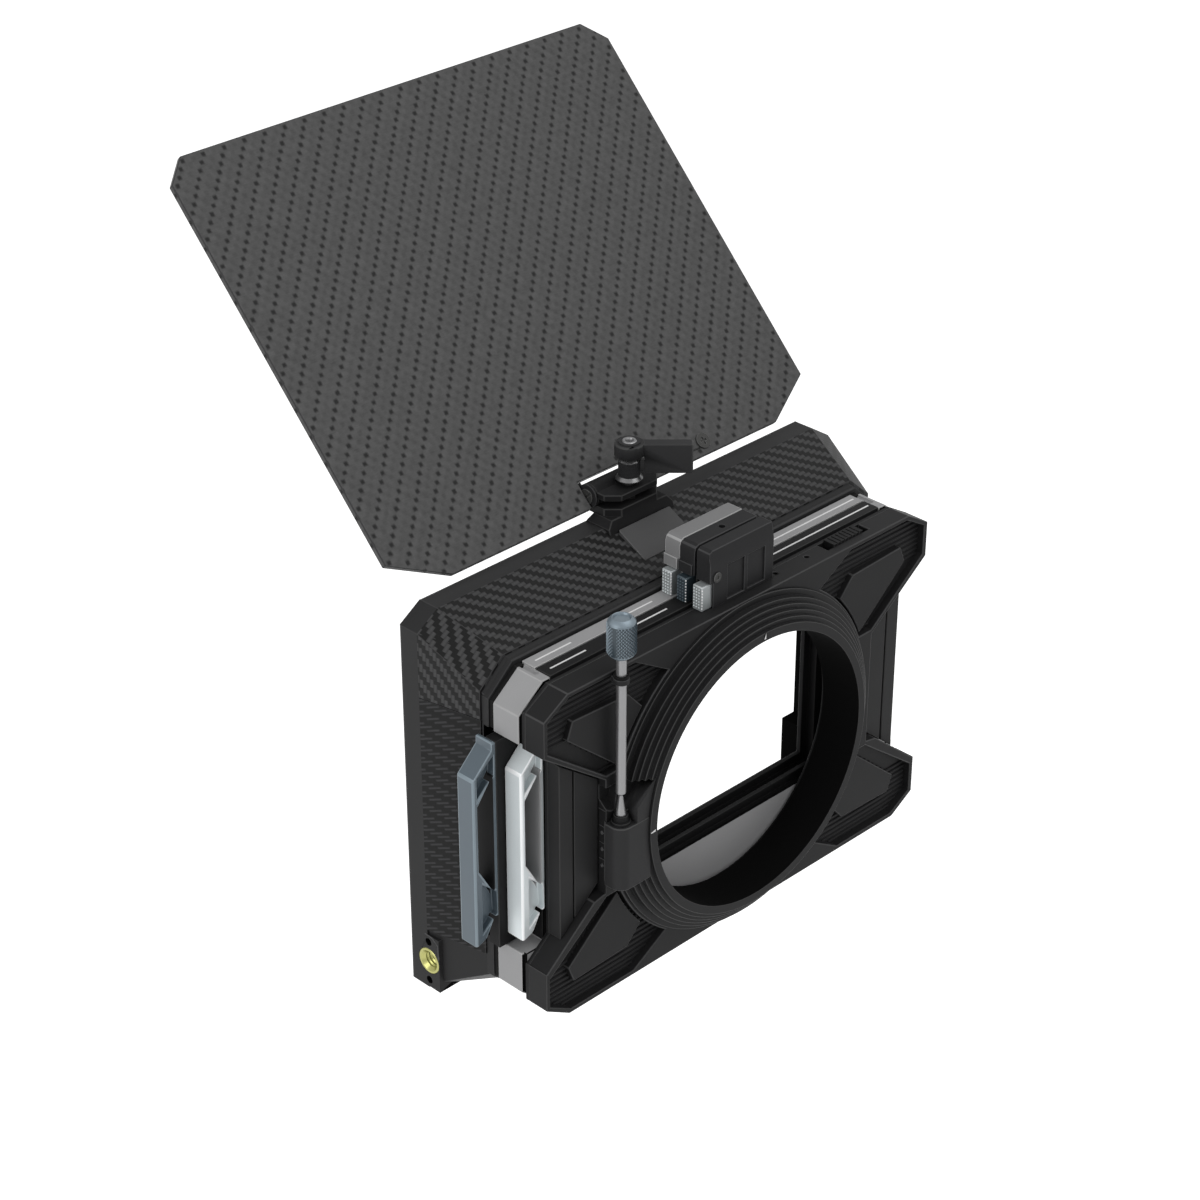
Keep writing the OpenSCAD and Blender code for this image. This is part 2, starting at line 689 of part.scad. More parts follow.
// One corner pocket, at the upper handle side, round the disc of the lens ring
module pocket_plan() {
    difference() {
        polygon([[bw - pocket_edge, recess_top + 0.4], [recess_in - 0.3, 22.5], [recess_in - 12, 22.5],
            [34.4, 48.5], [49.4, bh - pocket_edge], [bw - corner_x - 0.6, bh - pocket_edge],
            [bw - pocket_edge, bh - corner_z - 0.8]]);
        circle(disc_r + 1);
    }
}
// The raised, flat part in the middle of a pocket
module island_plan() {
    difference() {
        polygon([[bw - 10.2, 42], [bw - 12.5, 48], [recess_in - 10.3, 47], [recess_in - 17.5, 39],
            [recess_in - 11.5, 23.5], [recess_in - 5.9, 23.5]]);
        circle(disc_r + 2);
    }
}
// Cone that clears the foot of the rod, above the gear housing
module funnel() {
    translate([rod_x, rod_y, cone_z]) cylinder(r1 = rod_d, r2 = rod_d + 8.6, h = 9.1);
}
module back_plate() {
    color("#2c2c2e") placed() difference() {
        front_to(0, plate_t) plate_outline();
        for (m = [0, 1], n = [0, 1]) mirror([m, 0, 0]) mirror([0, 0, n]) {
            front_to(1, 1 + pocket_deep) difference() { pocket_plan(); island_plan(); }
            front_to(1, 1 + island_in) island_plan();
        }
        intersection() {
            funnel();
            difference() {
                span([0, funnel_floor, 0], [bw, 9, bh]);
                rod_y_at(0, 9, 0, disc_r, 30);
            }
        }
        rod_y_at(0, 1, 0, pocket_r, plate_t - 0.6);
        rod_y_at(0, 1, 0, filter_in, 40);
        // Room for the worm
        span([rod_x - worm_d / 2 - gap, rod_y - worm_d / 2 - gap, housing_bottom + 1],
            [rod_x + worm_d / 2 + gap, 9, housing_top]);
        // Slot of the release catch
        span([catch_x - slot_half, catch_y - 2.6, bh - 4], [catch_x + slot_half, catch_y + 2.4, bh + 1]);
        for (x = [-19, -34]) translate([x, -5.6, bh - 4]) cylinder(d = 1.8, h = 9);
        for (m = [0, 1], n = [0, 1]) mirror([m, 0, 0]) mirror([0, 0, n])
            rod_y_at(block_x, y_gasket + screw_head_t + screw_len, block_z, screw_r, plate_t);
    }
}
module plate_screws() {
    color("#4a4c50") placed() for (m = [0, 1], n = [0, 1]) mirror([m, 0, 0]) mirror([0, 0, n]) difference() {
        union() {
            rod_y_at(block_x, y_gasket + screw_head_t, block_z, screw_head_r, screw_head_t - 0.1);
            rod_y_at(block_x, y_gasket + screw_head_t + screw_len, block_z, screw_r, screw_len + 0.1);
        }
        translate([block_x, y_gasket + 1, block_z]) rotate([90, 0, 0]) cylinder(r = screw_r, h = 3, $fn = 6);
    }
}
// Walls of the side recess: a flat panel, and a band outside it past a thin groove
module wall_plan(x_in, x_out) {
    x_turn = max(x_in, recess_in + 5);
    polygon([[x_in, recess_edge(x_in) - 1], [x_out, recess_edge(x_out) - 1], [x_out, low_edge(x_out) + 0.4],
        [x_turn, low_edge(x_turn) + 0.4], [x_in, max(low_edge(x_in), -recess_high) + 0.6]]);
}
module side_panels() {
    color("#1f1f21") placed() both_sides() union() {
        front_to(wall_face, wall_face - y_layer) wall_plan(panel_in, groove_x - 0.7);
        front_to(wall_face - 0.8, wall_face - 0.8 - y_layer) wall_plan(panel_in, recess_x);
        front_to(wall_face, wall_face - y_layer) wall_plan(groove_x, recess_x);
    }
}
module ring_body() {
    rotate([-90, 0, 0]) {
        cylinder(r = disc_r, h = disc_t);
        for (k = [0:1:ring_steps - 1])
            cylinder(r = ring_end_r + (ring_steps - 1 - k) * step_w, h = foot_h + k * step_h);
    }
}
module lens_ring() {
    color("#262628") placed() difference() {
        union() {
            ring_body();
            // Inner sleeve that the filter ring turns on
            rotate([90, 0, 0]) cylinder(r = filter_in - fit, h = plate_t - 0.4);
        }
        rod_y_at(0, 50, 0, bore_d / 2, 100);
        span([rod_x - worm_d / 2 - gap, -9, housing_bottom + 1], [bw, ring_h + 1, housing_top]);
        intersection() {
            funnel();
            span([0, disc_t, 0], [bw, ring_h + 1, bh]);
        }
        for (a = [0, 90]) rotate([0, a, 0])
            span([-tick_w / 2, ring_h - tick_t, bore_d / 2 + 0.8],
                [tick_w / 2, ring_h + 1, ring_end_r - 0.2]);
    }
}
module ring_ticks() {
    color("white") placed() for (a = [0, 90]) rotate([0, a, 0])
        span([-tick_w / 2, ring_h - tick_t, bore_d / 2 + 0.8], [tick_w / 2, ring_h, ring_end_r - 0.2]);
}
module filter_ring() {
    color("#77797c") placed() difference() {
        union() {
            rod_y_at(0, filter_y - 1, 0, filter_d / 2, filter_t - 1);
            rod_y_at(0, filter_y, 0, filter_d / 2 - 2.2, filter_t);
            for (k = [0:1:filter_teeth - 1]) rotate([0, k * 360 / filter_teeth, 0])
                span([filter_d / 2 - 2.4, filter_y - 1.2, -0.8], [filter_d / 2 - 0.3, filter_y, 0.8]);
        }
        rod_y_at(0, 9, 0, filter_in, 40);
    }
}
module gear_housing() {
    color("#2a2a2c") placed() difference() {
        union() {
            translate([rod_x, rod_y, housing_bottom]) cylinder(d = housing_d, h = housing_h);
            span([rod_x - 9, 0, housing_bottom], [rod_x, rod_y + housing_d / 2, housing_top]);
            span([rod_x - 2, 0, housing_bottom], [rod_x + housing_d / 2, rod_y, housing_top]);
        }
        translate([rod_x, rod_y, housing_bottom + 1]) cylinder(d = worm_d + 2 * gap, h = housing_h - 2);
        translate([rod_x, rod_y, housing_bottom - 1]) cylinder(d = rod_d + 2 * fit, h = housing_h + 9);
        span([rod_x - worm_d / 2 - gap, -9, housing_bottom + 1],
            [rod_x + worm_d / 2 + gap, rod_y, housing_top - 1]);
        ring_body();
        span([-bw, -plate_t, -bh], [bw, 0, bh]);
    }
}
// Cap on the housing, with the seal round the rod
module housing_cap() {
    color("#1f1f21") placed() translate([rod_x, rod_y, housing_top]) difference() {
        union() {
            cylinder(d = housing_d - 2, h = cap_h);
            cylinder(d = rod_d + 1.4, h = cap_h + seal_h - gap);
        }
        translate([0, 0, -1]) cylinder(d = rod_d + 2 * fit, h = 9);
        translate([-rod_x, -rod_y, -housing_top]) ring_body();
        span([-9, -9, -1], [9, -rod_y, 9]);
    }
}
module rod_guide() {
    color("#222224") placed() difference() {
        union() {
            translate([rod_x, rod_y, guide_top - washer_h - guide_h]) cylinder(d = rod_d + 1.8, h = guide_h);
            span([rod_x - 1.6, 0, guide_top - washer_h - guide_h],
                [rod_x + 1.6, rod_y, guide_top - washer_h]);
        }
        translate([rod_x, rod_y, guide_top - 9]) cylinder(d = rod_d + 2 * fit, h = 12);
    }
}
module guide_washer() {
    color("#101011") placed() translate([rod_x, rod_y, guide_top - washer_h]) difference() {
        cylinder(d = rod_d + 1.6, h = washer_h);
        translate([0, 0, -1]) cylinder(d = rod_d + 2 * fit, h = 4);
    }
}
// Rod with a neck and a cone above the housing
module adjust_rod() {
    r = rod_d / 2;
    neck_z = cone_z + cone_h;
    color("#b9bcc0") placed() translate([rod_x, rod_y, 0]) rotate_extrude() polygon([
        [0, housing_bottom + 0.4], [r, housing_bottom + 0.4], [r, cone_z], [neck_r, neck_z],
        [r, neck_z + 1.1], [r, knob_z + 6], [0, knob_z + 6]]);
}
module rod_worm() {
    color("#8f7a45") placed() translate([rod_x, rod_y, 0]) difference() {
        union() {
            translate([0, 0, housing_bottom + 1 + gap])
                cylinder(d = worm_d - 1.2, h = housing_h - 2 - 2 * gap);
            for (k = [0:1:7]) translate([0, 0, housing_bottom + 2 + k * 2.4]) cylinder(d = worm_d, h = 1.1);
        }
        translate([0, 0, housing_bottom]) cylinder(d = rod_d, h = housing_h + 9);
    }
}
module rod_knob() {
    color("#6e7d87") placed() translate([rod_x, rod_y, knob_z]) difference() {
        rotate_extrude() polygon([[0, 0], [knob_d / 2 - 1.6, 0], [knob_d / 2, 1.6],
            [knob_d / 2, knob_h - 1.4], [knob_d / 2 - 1, knob_h - 0.3], [knob_d / 2 - 1.4, knob_h],
            [knob_d / 2 - 1.8, knob_h - 0.5], [0, knob_h - 0.5]]);
        translate([0, 0, -1]) cylinder(d = rod_d, h = 7);
    }
}

// Top locks. Each block stands on its own stage and holds one button
module lock_block(y, d, z0, x_end) {
    button_y = y + d / 2 - button_back;
    button_top = z0 + button_h + 0.3;
    difference() {
        union() {
            front_to(y + d / 2, d) polygon([[-lock_x - x_end, z0], [lock_end, z0], [lock_end, lock_top - 2.4],
                [lock_end - 0.6, lock_top - 0.7], [lock_end - 2, lock_top], [-lock_x - x_end, lock_top]]);
            children();
        }
        // Notch under the end of the block, and room for the button
        span([notch_x, y - 9, z0 - 1], [lock_x + 1, y + 9, button_top]);
        span([lock_x + 0.8 - button_len - button_travel, button_y - button_d - gap, z0 - 1],
            [lock_x + 1, button_y + gap, button_top]);
    }
}
// Latch between the block and its button
module latch(y, d, z0) {
    span([notch_x, y - d / 2, z0 + button_h], [lock_end + 0.7, y + d / 2 - 0.5, z0 + button_h + latch_h]);
}
module lock_front() {
    color("#9a9a9c") placed() lock_block(lock_front_y, lock_d, strip_top, 1.2)
        latch(lock_front_y, lock_d, strip_top);
}
module lock_middle() {
    color("#262628") placed() difference() {
        lock_block(lock_middle_y, lock_d, strip_top, 1.2) latch(lock_middle_y, lock_d, strip_top);
        translate([-2.9, lock_middle_y, lock_top - 2]) cylinder(d = 2.2, h = 4);
    }
}
module lock_rear() {
    y_back = lock_rear_y + lock_rear_d / 2;
    color("#262628") placed() difference() {
        lock_block(lock_rear_y, lock_rear_d, bh, 1.6);
        translate([-body_w / 2, 0, 0]) rotate([90, 0, 90]) linear_extrude(body_w) polygon([
            [y_back - bevel_d, lock_top], [y_back, lock_top - bevel_h], [y_back + 1, lock_top - bevel_h],
            [y_back + 1, lock_top + 1], [y_back - bevel_d, lock_top + 1]]);
        for (x = lock_pockets) span([x[0], y_back - 0.7, bh + 1], [x[1], y_back + 1, bh + lock_pocket_top]);
        rod_y_at(lock_screw_x, lock_rear_y + 9, bh + lock_screw_z, 1.3, 12);
    }
}
module lock_screw() {
    y_back = lock_rear_y + lock_rear_d / 2;
    color("#55575b") placed() difference() {
        union() {
            rod_y_at(lock_screw_x, y_back + 0.5, bh + lock_screw_z, 1.7, 0.5);
            rod_y_at(lock_screw_x, y_back + 0.1, bh + lock_screw_z, 1.3, 5.9);
        }
        translate([lock_screw_x, y_back + 1, bh + lock_screw_z]) rotate([90, 0, 0])
            cylinder(d = 1.6, h = 0.8, $fn = 6);
    }
}
module button(y, d, z0) {
    button_y = y + d / 2 - button_back;
    span([lock_x - button_len + 0.8, button_y - button_d, z0 + 0.05],
        [lock_x + 0.8, button_y, z0 + button_h]);
}
module button_front() { color("#b2b8bb") placed() button(lock_front_y, lock_d, strip_top); }
module button_middle() { color("#35424d") placed() button(lock_middle_y, lock_d, strip_top); }
module button_rear() { color("#b2b8bb") placed() button(lock_rear_y, lock_rear_d, bh); }
module release_catch() {
    color("#232325") placed() difference() {
        span([catch_x - catch_len / 2, catch_y - 2.4, bh - 4],
            [catch_x + catch_len / 2, catch_y + 2.2, bh + 0.8]);
        for (k = [-3:1:3]) translate([catch_x + k * catch_len / 8, catch_y + 2.8, bh + 0.2])
            rotate([90, 0, 0]) linear_extrude(6) polygon([[-0.45, 1], [0.45, 1], [0, -0.2]]);
    }
}

hood_shell();
hood_skin_top();
hood_skin_bottom();
hood_skin_left();
hood_skin_right();
hood_gasket();
boss_inserts();
flag_foot();
foot_panel();
upper_jaw();
clamp_stem();
clamp_lever();
lever_screw();
flag_plate();
flag_bracket();
hinge_pin();
flag_screws();
filter_frame();
front_strip();
rear_strip();
index_lines();
front_tray();
front_handle();
rear_tray();
rear_handle();
front_layer();
back_plate();
side_panels();
lens_ring();
ring_ticks();
filter_ring();
gear_housing();
housing_cap();
rod_guide();
guide_washer();
adjust_rod();
rod_worm();
rod_knob();
lock_front();
lock_middle();
lock_rear();
lock_screw();
button_front();
button_middle();
button_rear();
release_catch();
plate_screws();
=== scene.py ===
"""Looks of a clip-on matte box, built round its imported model.

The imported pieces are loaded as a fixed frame. Each rigid piece gets a copy with softly rounded
edges and its own finish, and the fine work (knurls, ribs, threads, grooves, dots) is added as
real geometry. Sizes are in millimetres and ``at`` turns them to metres. +X is the side of the
tray handles, -Y the front, +Z up, and y is counted from the rear face of the back plate.
"""

import json
import logging
import math
from collections.abc import Callable, Iterable, Sequence
from dataclasses import dataclass
from enum import Enum

import bmesh
import bpy
from mathutils import Matrix, Vector
from mathutils.geometry import intersect_point_line

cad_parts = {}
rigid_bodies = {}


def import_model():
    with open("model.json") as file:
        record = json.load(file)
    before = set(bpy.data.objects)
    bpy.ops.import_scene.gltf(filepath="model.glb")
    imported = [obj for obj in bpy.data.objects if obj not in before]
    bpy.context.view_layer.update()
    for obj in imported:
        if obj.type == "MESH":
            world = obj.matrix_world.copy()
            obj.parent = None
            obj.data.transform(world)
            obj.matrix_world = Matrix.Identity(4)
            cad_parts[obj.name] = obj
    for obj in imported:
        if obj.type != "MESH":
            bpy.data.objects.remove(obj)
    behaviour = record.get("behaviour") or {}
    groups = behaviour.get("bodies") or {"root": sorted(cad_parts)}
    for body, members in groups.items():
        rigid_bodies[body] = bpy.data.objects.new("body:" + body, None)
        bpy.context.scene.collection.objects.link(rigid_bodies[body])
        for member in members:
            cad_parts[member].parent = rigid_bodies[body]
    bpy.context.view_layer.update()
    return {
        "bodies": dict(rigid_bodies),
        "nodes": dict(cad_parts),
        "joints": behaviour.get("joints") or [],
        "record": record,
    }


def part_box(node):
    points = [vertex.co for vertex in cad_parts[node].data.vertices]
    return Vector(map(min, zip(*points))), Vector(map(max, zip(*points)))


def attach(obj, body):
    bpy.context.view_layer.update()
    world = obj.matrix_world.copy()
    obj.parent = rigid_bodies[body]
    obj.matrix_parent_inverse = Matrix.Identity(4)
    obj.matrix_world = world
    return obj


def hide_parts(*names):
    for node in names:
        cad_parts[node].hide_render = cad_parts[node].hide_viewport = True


MM = 0.001
UP = Vector((0.0, 0.0, 1.0))
OUTWARD = Vector((1.0, 0.0, 0.0))
SIDES = (1.0, -1.0)
FLAG_TILT = math.radians(46.0)
log = logging.getLogger("matte_box")

Number = float | int
Colour = tuple[float, float, float]
Place = tuple[float, float, float]
Size = tuple[float, float]
Outline = Sequence[tuple[float, float]]


def node_maths(operation: str, swapped: bool = False) -> "Callable[..., Wire]":
    """Makes a method that adds one Math node.

    Args:
        operation: The node's operation.
        swapped: Whether the wire itself comes last, as in a reflected operator.

    Returns:
        The method.
    """
    def method(wire: "Wire", *others: "Wire | Number") -> "Wire":
        """Adds the node and returns its result."""
        values = (*others, wire) if swapped else (wire, *others)
        return wire.graph.add("ShaderNodeMath", {"operation": operation}, dict(enumerate(values)))
    return method


class Wire:
    """One output socket of a node tree, with Python's operators for its maths."""

    def __init__(self, graph: "Graph", socket: bpy.types.NodeSocket) -> None:
        """Keeps the socket and the tree it belongs to."""
        self.graph = graph
        self.socket = socket

    __add__ = __radd__ = node_maths("ADD")
    __sub__ = node_maths("SUBTRACT")
    __rsub__ = node_maths("SUBTRACT", swapped=True)
    __mul__ = __rmul__ = node_maths("MULTIPLY")
    __truediv__ = node_maths("DIVIDE")
    __mod__ = node_maths("FLOORED_MODULO")
    __lt__ = node_maths("LESS_THAN")
    __abs__ = node_maths("ABSOLUTE")
    floor = node_maths("FLOOR")
    part = node_maths("FRACT")
    sine = node_maths("SINE")
    cosine = node_maths("COSINE")
    least = node_maths("MINIMUM")
    most = node_maths("MAXIMUM")

    def limited(self) -> "Wire":
        """Kept between 0 and 1."""
        return self.least(1.0).most(0.0)


class Graph:
    """A node tree that is filled by one method."""

    def __init__(self, tree: bpy.types.NodeTree) -> None:
        """Starts from an empty tree."""
        self.tree = tree
        tree.nodes.clear()

    def add(self, kind: str, settings: dict | None = None, sockets: dict | None = None,
            out: int | str = 0) -> Wire:
        """Adds a node.

        Args:
            kind: The node's type.
            settings: Its properties, set first.
            sockets: Values or wires of its inputs, by name or place.
            out: Which output is wanted.

        Returns:
            That output.
        """
        node = self.tree.nodes.new(kind)
        for name, value in (settings or {}).items():
            setattr(node, name, value)
        for name, value in (sockets or {}).items():
            if isinstance(value, Wire):
                self.tree.links.new(value.socket, node.inputs[name])
            else:
                node.inputs[name].default_value = value
        return Wire(self, node.outputs[out] if node.outputs else None)


class Shader(Graph):
    """The node tree of one material."""

    def __init__(self, name: str) -> None:
        """Makes the material and an empty tree.

        Args:
            name: Name of the material.
        """
        self.material = bpy.data.materials.new(name)
        self.material.use_nodes = True
        super().__init__(self.material.node_tree)
        self.place = self.add("ShaderNodeTexCoord", out="Object")

    def axis(self, direction: Vector) -> Wire:
        """Distance along a direction, in millimetres.

        Args:
            direction: The direction, one unit long.

        Returns:
            The distance from the origin.
        """
        spot = self.add("ShaderNodeVectorMath", {"operation": "DOT_PRODUCT"},
                        {0: self.place, 1: tuple(direction)}, out="Value")
        return spot / MM

    def noise(self, size: float, detail: float = 2.0, stretch: Colour = (1.0, 1.0, 1.0)) -> Wire:
        """Soft random pattern from 0 to 1.

        Args:
            size: Size of its patches in millimetres.
            detail: Octaves of finer patches.
            stretch: How much the pattern is drawn out along each axis.

        Returns:
            The pattern's level.
        """
        spot = self.add("ShaderNodeMapping", None, {0: self.place, "Scale": tuple(1 / s for s in stretch)})
        return self.add("ShaderNodeTexNoise", None,
                        {"Vector": spot, "Scale": 1 / (size * MM), "Detail": detail})

    def blend(self, share: Wire | Number, first: "Wire | tuple", second: "Wire | tuple") -> Wire:
        """Mixes two colours by a share.

        Args:
            share: Share of the second colour, from 0 to 1.
            first: The first colour.
            second: The second colour.

        Returns:
            The mixed colour.
        """
        def full(colour: "Wire | tuple") -> "Wire | tuple":
            """The colour with its alpha."""
            return colour if isinstance(colour, Wire) else (*colour, 1.0)
        return self.add("ShaderNodeMix", {"data_type": "RGBA"},
                        {0: share, 6: full(first), 7: full(second)}, out=2)

    def scaled(self, colour: Colour, level: Wire) -> Wire:
        """A colour made darker or lighter by a level."""
        return self.add("ShaderNodeVectorMath", {"operation": "SCALE"}, {0: colour, "Scale": level})

    def flat_map(self, name: str) -> tuple[Wire, Wire]:
        """The two coordinates of a flat map on the mesh, in millimetres.

        Args:
            name: Name of the map.

        Returns:
            Its first and its second coordinate.
        """
        spot = self.add("ShaderNodeUVMap", {"uv_map": name})
        first = self.add("ShaderNodeSeparateXYZ", None, {0: spot})
        return first, Wire(self, first.socket.node.outputs[1])

    def bumped(self, height: Wire, depth: float) -> Wire:
        """Normal of a surface whose height varies.

        Args:
            height: Level from 0 to 1.
            depth: Height of the relief in millimetres.

        Returns:
            The normal.
        """
        return self.add("ShaderNodeBump", None, {"Height": height, "Distance": depth * MM, "Strength": 1.0})

    def surface(self, **sockets: "Wire | Number | tuple") -> bpy.types.Material:
        """Ends the tree in a Principled surface.

        Args:
            **sockets: Its inputs, with underscores for spaces.

        Returns:
            The material.
        """
        named = {}
        for name, value in sockets.items():
            if name == "Base_Color" and isinstance(value, tuple):
                value = (*value, 1.0)
            named[name.replace("_", " ")] = value
        skin = self.add("ShaderNodeBsdfPrincipled", None, named)
        self.add("ShaderNodeOutputMaterial", None, {"Surface": skin})
        return self.material


@dataclass(frozen=True)
class Finish:
    """Fine-grained coated or anodised metal, the plain finish of this part.

    Attributes:
        name: Name of the material.
        slot: The kind of finish that it stands for.
        colour: Its colour.
        roughness: From 0 for a mirror to 1 for matt.
        metallic: From 0 for a coat to 1 for bare metal.
        shine: Strength of its reflections.
        grain: Height of its relief in millimetres.
        grain_size: Size of its grain in millimetres.
        edge: Colour of its rounded edges, which is a painted highlight.
    """

    name: str
    slot: str
    colour: Colour
    roughness: float = 0.5
    metallic: float = 0.0
    shine: float = 0.5
    grain: float = 0.01
    grain_size: float = 0.22
    # The lighter colour of the rounded edges is a painted highlight.
    edge: Colour = (0.05, 0.05, 0.051)

    def material(self) -> bpy.types.Material:
        """Returns the finish's material, made once."""
        return bpy.data.materials.get(self.name) or self.build()

    def edge_highlight_material(self) -> bpy.types.Material:
        """Returns the lighter material of its rounded edges, a painted highlight, made once."""
        painted_edge = Finish(f"{self.name}_edge", self.slot, self.edge, self.roughness, self.metallic, self.shine)
        return painted_edge.material()

    def build(self) -> bpy.types.Material:
        """Grain and faint cloudiness over one colour.

        Returns:
            The material.
        """
        tree = Shader(self.name)
        fine = tree.noise(self.grain_size, 1.0)
        cloud = tree.noise(14.0, 3.0)
        level = 0.88 + 0.12 * cloud + 0.12 * fine
        tint = tree.scaled(self.colour, level)
        rough = self.roughness - 0.04 + 0.08 * cloud + 0.05 * fine
        return tree.surface(Base_Color=tint, Roughness=rough, Metallic=self.metallic,
                            Specular_IOR_Level=self.shine, Normal=tree.bumped(fine, self.grain))


@dataclass(frozen=True)
class TwillFinish(Finish):
    """Woven carbon in diagonal bands, laid on a flat map of the skin."""

    dark: Colour = (0.012, 0.012, 0.012)
    flat: str = "weave"
    cell: float = 1.4

    def build(self) -> bpy.types.Material:
        """Two light and two dark cells in turn, each row moved on by one.

        Returns:
            The material.
        """
        tree = Shader(self.name)
        across, along = tree.flat_map(self.flat)
        u = across / self.cell
        v = along / self.cell
        turn = (u.floor() + v.floor()) % 4.0
        crown_u = abs(u.part() - 0.5)
        crown_v = abs(v.part() - 0.5)
        light_cell = turn < 1.5
        fibres = tree.noise(0.5, 2.0, (1.0, 4.0, 1.0))
        rounded = 1.0 - 1.6 * crown_v * crown_v
        # The light cells' colour falls off towards their edges across the tow: painted shade on its round
        # crown.
        level = (0.78 + 0.44 * fibres) * rounded
        light = tree.scaled(self.colour, level)
        height = light_cell * rounded + (1.0 - light_cell) * (0.7 - 1.6 * crown_u * crown_u)
        return tree.surface(Base_Color=tree.blend(light_cell, self.dark, light),
                            Roughness=self.roughness + 0.1 * light_cell, Specular_IOR_Level=self.shine,
                            Normal=tree.bumped(height, self.grain))


@dataclass(frozen=True)
class SpottedTwillFinish(Finish):
    """Woven carbon of which one cell in four looks dark, in diagonal rows."""

    dark: Colour = (0.02, 0.02, 0.02)
    across: Colour = (-1.0, 0.0, 0.0)
    along: Colour = (0.0, 0.0, 1.0)
    cell_across: float = 2.02
    cell_along: float = 2.35
    spot_across: float = 0.5
    spot_along: float = 0.46
    softness: float = 3.4
    stray: float = 0.3

    def build(self) -> bpy.types.Material:
        """Soft dark cells on a ground that varies from cell to cell, with a painted highlight on the cell
        after each dark one.

        Returns:
            The material.
        """
        tree = Shader(self.name)
        wander = tree.noise(1.6, 2.0)
        u = tree.axis(Vector(self.across)) / self.cell_across + self.stray * (wander - 0.5)
        v = tree.axis(Vector(self.along)) / self.cell_along + self.stray * (tree.noise(1.9, 2.0) - 0.5)
        turn = (u.floor() - v.floor()) % 4.0
        crown_u = abs(u.part() - 0.5)
        crown_v = abs(v.part() - 0.5)
        near_u = ((self.spot_across - crown_u) * self.softness).limited()
        spot = near_u * ((self.spot_along - crown_v) * self.softness).limited()
        dark = (turn < 0.5) * spot
        # Painted highlight: the cell after each dark one is lighter, fading across the cell.
        after = (abs(turn - 1.0) < 0.5) * ((0.5 - crown_v) * 3.0).limited()
        opposite = (abs(turn - 2.0) < 0.5) * spot
        fibres = tree.noise(0.45, 2.0, (4.0, 1.0, 1.0))
        level = 0.5 + 0.34 * fibres + 0.6 * tree.noise(2.4, 3.0) - 0.12 * opposite + 0.1 * after
        light = tree.scaled(self.colour, level)
        height = (1.0 - dark) * (1.0 - 1.2 * crown_u * crown_u)
        return tree.surface(Base_Color=tree.blend(dark, light, self.dark),
                            Roughness=self.roughness + 0.1 * dark, Specular_IOR_Level=self.shine,
                            Normal=tree.bumped(height, self.grain))


@dataclass(frozen=True)
class ThreadFinish(Finish):
    """Carbon seen edge on, where the light on the crests of its threads is painted as bright dashes."""

    dark: Colour = (0.008, 0.008, 0.008)
    rise: float = 22.0
    row: float = 1.3
    dash: float = 9.1
    shift: float = 2.5
    share: float = 0.6

    def build(self) -> bpy.types.Material:
        """Rows of painted highlight dashes, each row moved on from the one above.

        Returns:
            The material.
        """
        tree = Shader(self.name)
        tilt = math.radians(self.rise)
        u = tree.axis(Vector((0.0, math.cos(tilt), math.sin(tilt))))
        v = tree.axis(Vector((0.0, -math.sin(tilt), math.cos(tilt)))) / self.row
        run = (u + v.floor() * self.shift) / self.dash
        within = ((self.share / 2 - abs(run.part() - 0.5)) * 14.0).limited()
        crest = ((0.36 - abs(v.part() - 0.5)) * 4.0).limited()
        fibres = tree.noise(0.6, 2.0, (1.0, 3.0, 1.0))
        # The lit crests are painted: bright dashes over the dark ground.
        dash_highlight = within * crest * (0.7 + 0.6 * fibres)
        return tree.surface(Base_Color=tree.blend(dash_highlight.limited(), self.dark, self.colour),
                            Roughness=self.roughness, Specular_IOR_Level=self.shine,
                            Normal=tree.bumped(within * crest, self.grain))


@dataclass(frozen=True)
class TurnedFinish(Finish):
    """Metal turned on a lathe, with fine rings along one axis."""

    axis: Colour = (0.0, 0.0, 1.0)
    pitch: float = 0.18

    def build(self) -> bpy.types.Material:
        """Fine rings over a plain metal.

        Returns:
            The material.
        """
        tree = Shader(self.name)
        along = tree.axis(Vector(self.axis))
        ring = 0.5 + 0.5 * (along * (2 * math.pi / self.pitch)).sine()
        cloud = tree.noise(3.0, 3.0)
        level = 0.9 + 0.14 * cloud + 0.06 * ring
        tint = tree.scaled(self.colour, level)
        return tree.surface(Base_Color=tint, Roughness=self.roughness + 0.1 * cloud, Metallic=self.metallic,
                            Specular_IOR_Level=self.shine, Normal=tree.bumped(ring, self.grain))


